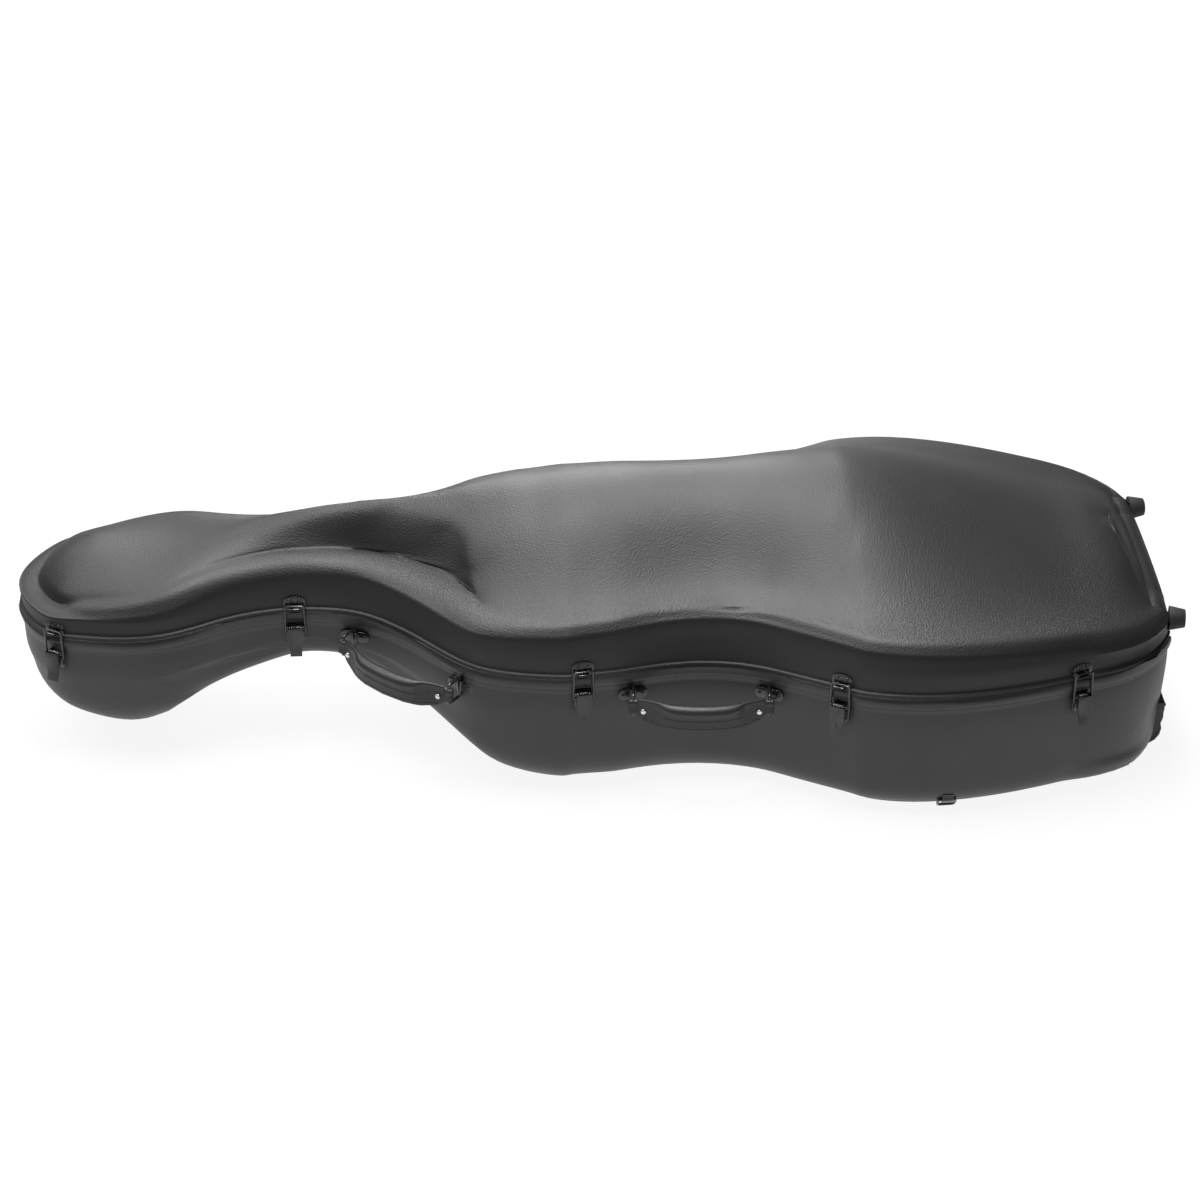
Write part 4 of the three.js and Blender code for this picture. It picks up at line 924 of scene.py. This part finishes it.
def sew(name, target, line, out, body, finish=None):
    """Lays stitches on a dressed piece along a line of places."""
    threads = []
    for here, after in zip(line, line[1:]):
        point, normal = seat_on(target, (here + after) / 2, out)
        if point is None:
            continue
        along = (after - here).normalized()
        along = (along - normal * along.dot(normal)).normalized()
        columns = Matrix((normal.cross(along), normal, along)).transposed().to_4x4()
        thread = bpy.data.objects.new(name, stitch_blank.data.copy())
        bpy.context.collection.objects.link(thread)
        thread.data.transform(Matrix.Translation(point + normal * 0.12 * mm) @ columns)
        threads.append(thread)
    return join_as(name, threads, finish or thread_black, body)


for number in (1, 2):
    node = f"handle_{number}_grip"
    grip = copy_of(node)
    round_off(grip, levels=2, crease_angle=62, passes=3)
    smooth_shade(grip, 50)
    stand_for(grip, node)
    left = Vector(joints[f"handle_{number}_ring_left_swing"]["pos_m"])
    right = Vector(joints[f"handle_{number}_ring_right_swing"]["pos_m"])
    upward = Vector(joints[f"handle_{number}_ring_left_swing"]["axis"]).normalized()
    along = (left - right).normalized()
    outward = upward.cross(along)
    middle, half = (left + right) / 2, (left - right).length / 2
    rivets = [middle + along * side * half * 0.85 - upward * 7 * mm for side in (-1, 1)]
    set_rivets(f"{node}_rivets", grip.name, rivets, outward, f"handle_{number}_grip",
               rivet_wide, bright_metal)
    under_roll = [middle + along * x - upward * 8.4 * mm
                  for x in stretch_of((-0.6 * half, 0.6 * half), 3.1 * mm)]
    sew(f"{node}_upper_stitches", grip.name, under_roll, outward, f"handle_{number}_grip")
    local = np.array([[(Vector(p) - middle).dot(along), (Vector(p) - middle).dot(upward)]
                      for p in points_of(grip.data)])
    edge = []
    for x in stretch_of((-0.86 * half, 0.86 * half), 3.1 * mm):
        low_here = local[np.abs(local[:, 0] - x) < 5 * mm][:, 1].min()
        edge.append(middle + along * x + upward * (low_here + 3.4 * mm))
    sew(f"{node}_lower_stitches", grip.name, edge, outward, f"handle_{number}_grip")
print("stitched grips:", 2)

# %% [markdown]
# ## Feet and wheels
# Two rubber feet on the tail end let the case stand up, and two wheels in
# moulded housings roll it. A foot is a tapered stub with a rounded rim and a
# sunk middle for its screw. It starts as a cylinder, its top is inset and
# pushed in, and a bevel rounds every edge.


# %% The feet
def model_foot(base, tip, length, recess):
    """A foot on the origin that points along z."""
    bpy.ops.object.select_all(action="DESELECT")
    bpy.ops.mesh.primitive_cylinder_add(vertices=40, radius=base, depth=length, location=(0, 0, length / 2))
    foot = bpy.context.object
    bpy.ops.object.transform_apply(location=True)
    edit_all(foot)
    bpy.ops.mesh.select_all(action="DESELECT")
    close_edit()
    max(foot.data.polygons, key=lambda face: face.center.z).select = True
    bpy.ops.object.mode_set(mode="EDIT")
    bpy.ops.mesh.select_mode(type="FACE")
    bpy.ops.transform.resize(value=(tip / base, tip / base, 1))
    bpy.ops.mesh.inset(thickness=tip * 0.42, depth=0)
    bpy.ops.mesh.inset(thickness=0.3 * mm, depth=-recess)
    bpy.ops.mesh.inset(thickness=tip * 0.2, depth=0)
    bpy.ops.mesh.inset(thickness=0.3 * mm, depth=1.2 * mm)
    close_edit()
    rim = foot.modifiers.new("rounded_rim", "BEVEL")
    rim.width = 0.8 * mm
    rim.segments = 3
    rim.limit_method = "ANGLE"
    rim.angle_limit = math.radians(35)
    bpy.ops.object.modifier_apply(modifier=rim.name)
    smooth_shade(foot, 40)
    return foot


foot_blank = model_foot(14.4 * mm, 10.6 * mm, 18.6 * mm, 2.2 * mm)
foot_reach = 19.0 * mm
foot_blank.name = "foot_blank"
for number in (1, 2):
    node = f"foot_{number}"
    mesh = nodes[node].data
    outermost = max(corner.co.x for corner in mesh.vertices)
    cap = [face for face in mesh.polygons if face.center.x > outermost - 8 * mm]
    flats = {}
    for face in cap:
        key = tuple(round(part, 1) for part in face.normal)
        flats.setdefault(key, []).append(face)
    widest = max(flats.values(), key=lambda faces: sum(face.area for face in faces))
    facing = sum((face.normal * face.area for face in widest), Vector()).normalized()
    cap = [face for face in cap if face.normal.dot(facing) > 0.99]
    tip_place = sum((face.center * face.area for face in cap), Vector()) / sum(face.area for face in cap)
    foot = bpy.data.objects.new(f"{node}_dressed", foot_blank.data.copy())
    bpy.context.collection.objects.link(foot)
    foot.data.transform(Matrix.Translation(tip_place - facing * foot_reach) @ turn_to(facing))
    stand_for(foot, node)
    print(node, "points to", [round(v, 2) for v in facing])

# %% The wheels
for number in (1, 2):
    wheel = copy_of(f"wheel_{number}")
    round_off(wheel, levels=2, crease_angle=35)
    smooth_shade(wheel, 35)
    stand_for(wheel, f"wheel_{number}")
    dress_plate(f"wheel_axle_{number}", 0.3 * mm)
    housing = copy_of(f"wheel_housing_{number}")
    roll_edges(housing, 0.5 * mm, segments=3)
    stand_for(housing, f"wheel_housing_{number}")
    centre = Vector(joints[f"wheel_{number}_roll"]["pos_m"])
    heads = []
    for side in (-1, 1):
        head = bpy.data.objects.new("head", rivet_wide.data.copy())
        bpy.context.collection.objects.link(head)
        facing = Vector((0, side, 0))
        head.data.transform(Matrix.Translation(centre + facing * 15.5 * mm) @ turn_to(facing))
        heads.append(head)
    join_as(f"wheel_{number}_axle_heads", heads, pin_metal, "base")
    across = [centre + Vector((14 * mm, side * 14.6 * mm, 38 * mm)) for side in (-1, 1)]
    set_rivets(f"wheel_{number}_housing_rivets", housing.name, across, Vector((1, 0, 0)), "base")

# %% [markdown]
# ## The rim seal
# A rubber seal lies in the joint between the halves. It follows the same
# fairing as the shells, so it stays in the middle of the joint.

# %% The rim seal
seal = copy_of("rim_seal")
round_off(seal, levels=2)
fair(seal, 60)
smooth_shade(seal, 40)
stand_for(seal, "rim_seal")

# %% [markdown]
# ## The padded lining
# Each half is lined with plush over foam, sewn down in channels that run
# across the case. A flat cut through the lining gives a line of corners at
# each seam, with one more on either side. The corners of the seam itself are
# then pulled into the foam, which leaves a soft valley.


# %% The linings
def faces_inside(points, normals):
    """Tells for each corner whether its surface faces the inside of the case."""
    middle = np.stack([
        np.clip(points[:, 0], spine_from, spine_to),
        np.zeros(len(points)),
        np.full(len(points), 0.165)], axis=1)
    return np.einsum("ij,ij->i", middle - points, normals) > 0


seam_places = [place * mm for place in (-560, -450, -330, -210, -90, 40, 170, 300, 430, 560)]
seam_depth = 2.6 * mm
for node in ("base_lining", "lid_lining"):
    lining = copy_of(node)
    round_off(lining, levels=2)
    fair(lining, 60, share=away_from_pockets(points_of(lining.data)))
    for seam in seam_places:
        for aside in (-9 * mm, 0, 9 * mm):
            edit_all(lining)
            bpy.ops.mesh.bisect(plane_co=(seam + aside, 0, 0), plane_no=(1, 0, 0))
            close_edit()
    points, normals = points_of(lining.data).copy(), normals_of(lining.data)
    pull = np.zeros(len(points))
    for seam in seam_places:
        pull = np.maximum(pull, np.clip(1 - np.abs(points[:, 0] - seam) / (6 * mm), 0, 1))
    sunk = faces_inside(points, normals) & (np.abs(normals[:, 0]) < 0.8)
    points -= normals * (pull * sunk * seam_depth)[:, None]
    set_points(lining.data, points)
    smooth_shade(lining, 60)
    stand_for(lining, node)
    print(node, "faces:", len(lining.data.polygons), "seams:", len(seam_places))

# %% [markdown]
# ## Cradle, pads and pouch
# These are foam blocks in plush covers. A cover filled from inside rounds its
# edges and swells between its corners, so each block is blown up a little by
# the cloth solver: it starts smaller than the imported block, is remeshed to
# even small faces, and air pressure fills it. How far a point may move is
# capped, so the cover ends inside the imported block.


# %% Filled covers
def fill_cover(piece, shrink, cap, voxel=5 * mm, pressure=4.0):
    """Blows a closed cover up with the cloth solver and keeps the result."""
    edit_all(piece)
    bpy.ops.mesh.normals_make_consistent(inside=False)
    close_edit()
    remesh = piece.modifiers.new("even_faces", "REMESH")
    remesh.mode = "VOXEL"
    remesh.voxel_size = voxel
    work_on(piece)
    bpy.ops.object.modifier_apply(modifier=remesh.name)
    edit_all(piece)
    bpy.ops.mesh.vertices_smooth(factor=0.5, repeat=3)
    bpy.ops.transform.shrink_fatten(value=-shrink)
    close_edit()
    before = points_of(piece.data).copy()
    cover = piece.modifiers.new("cover", "CLOTH")
    cover.settings.use_pressure = True
    cover.settings.uniform_pressure_force = pressure
    cover.settings.effector_weights.gravity = 0
    cover.settings.quality = 6
    cover.collision_settings.use_collision = False
    for frame_number in range(1, 21):
        scene.frame_set(frame_number)
    depsgraph = bpy.context.evaluated_depsgraph_get()
    blown = piece.evaluated_get(depsgraph).to_mesh()
    after = points_of(blown).copy()
    piece.modifiers.remove(cover)
    scene.frame_set(1)
    moved = after - before
    length = np.linalg.norm(moved, axis=1)
    limit = np.minimum(1, cap / np.maximum(length, 1e-9))
    set_points(piece.data, before + moved * limit[:, None])
    work_on(piece)
    finer = piece.modifiers.new("finer", "SUBSURF")
    finer.levels = finer.render_levels = 1
    bpy.ops.object.modifier_apply(modifier=finer.name)
    smooth_shade(piece, 70)


def loop_round(target, centre, height, count, proud):
    """Places round a dressed piece at a height, a little proud of it."""
    places = []
    for turn in range(count):
        angle = 2 * math.pi * turn / count
        out = Vector((math.cos(angle), math.sin(angle), 0))
        point, normal = seat_on(target, Vector((centre.x, centre.y, height)), out, 90 * mm)
        if point is not None:
            places.append(point + normal * proud)
    return places


def piping_along(name, places, radius, finish, body, closed=True):
    """A round cord laid along places, made a mesh."""
    line = bpy.data.curves.new(name, "CURVE")
    line.dimensions = "3D"
    line.bevel_depth = radius
    line.bevel_resolution = 2
    spline = line.splines.new("POLY")
    spline.points.add(len(places) - 1)
    for knot, place in zip(spline.points, places):
        knot.co = (*place, 1)
    spline.use_cyclic_u = closed
    cord = bpy.data.objects.new(name, line)
    bpy.context.collection.objects.link(cord)
    work_on(cord)
    bpy.ops.object.convert(target="MESH")
    cord = bpy.context.object
    smooth_shade(cord, 60)
    return join_as(name, [cord], finish, body)


for node in ("neck_cradle", "upper_back_pad", "lower_back_pad", "accessory_pouch"):
    block = copy_of(node)
    fill_cover(block, 2.6 * mm, 2.8 * mm)
    stand_for(block, node)
    low_corner, high_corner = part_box(node)
    centre = (Vector(low_corner) + Vector(high_corner)) / 2
    if node != "neck_cradle":
        height = high_corner[2] - (9 * mm if node == "accessory_pouch" else 5 * mm)
        places = loop_round(block.name, centre, height, 96, 0.4 * mm)
        piping_along(f"{node}_piping", places, 1.5 * mm, thread_black, "base")
    print(node, "faces:", len(block.data.polygons))

# %% [markdown]
# ## The neck strap and the bow clips
# The strap is flat webbing that closes over the neck of the instrument. It is
# modelled directly, because filling would round it: a long plane is divided,
# bent over the cradle, and given the thickness of webbing.

# %% The neck strap
strap_low, strap_high = (Vector(corner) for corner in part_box("neck_strap"))
strap_width = (strap_high.x - strap_low.x) - 2 * mm
strap_span = strap_high.y - strap_low.y
foot_height, crest = strap_low.z + 1.5 * mm, strap_high.z - 1.5 * mm
bpy.ops.object.select_all(action="DESELECT")
bpy.ops.mesh.primitive_grid_add(x_subdivisions=6, y_subdivisions=48, size=1, location=(0, 0, 0))
strap = bpy.context.object
strap.name = "neck_strap_dressed"
points = points_of(strap.data).copy()
share = np.clip((26 - np.abs(points[:, 1]) * strap_span / mm) / 16, 0, 1)
rise = share * share * (3 - 2 * share)
points[:, 0] = (strap_low.x + strap_high.x) / 2 + points[:, 0] * strap_width
points[:, 1] = points[:, 1] * (strap_span - 2 * mm)
points[:, 2] = foot_height + (crest - foot_height) * rise
set_points(strap.data, points)
line = points[np.abs(points[:, 0] - points[:, 0].min()) < 0.1 * mm]
line = line[np.argsort(line[:, 1])]
wall = strap.modifiers.new("webbing", "SOLIDIFY")
wall.thickness = 2.2 * mm
wall.offset = 0
work_on(strap)
bpy.ops.object.modifier_apply(modifier=wall.name)
roll_edges(strap, 0.5 * mm, segments=2, angle=50)
stand_for(strap, "neck_strap")
for side in (-1, 1):
    box_line = []
    for x, y in ((-12, 31), (12, 31), (12, 46), (-12, 46), (-12, 31)):
        box_line.append(Vector(((strap_low.x + strap_high.x) / 2 + x * mm, side * y * mm, crest)))
    dense = []
    for here, after in zip(box_line, box_line[1:]):
        dense += [here.lerp(after, share) for share in np.linspace(0, 1, 8)[:-1]]
    sew(f"neck_strap_stitches_{'near' if side < 0 else 'far'}", strap.name, dense, up, "base")

# %% The bow clips
for number in (1, 2):
    clip = copy_of(f"bow_clip_{number}")
    roll_edges(clip, 0.9 * mm, segments=3)
    stand_for(clip, f"bow_clip_{number}")

# %% The blanks are put away
for blank in (rivet_small, rivet_wide, spring_blank, stitch_blank, foot_blank):
    bpy.data.objects.remove(blank)

# %% The end
low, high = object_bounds()
print("size of the dressed case:", [round(a - b, 4) for a, b in zip(high, low)])
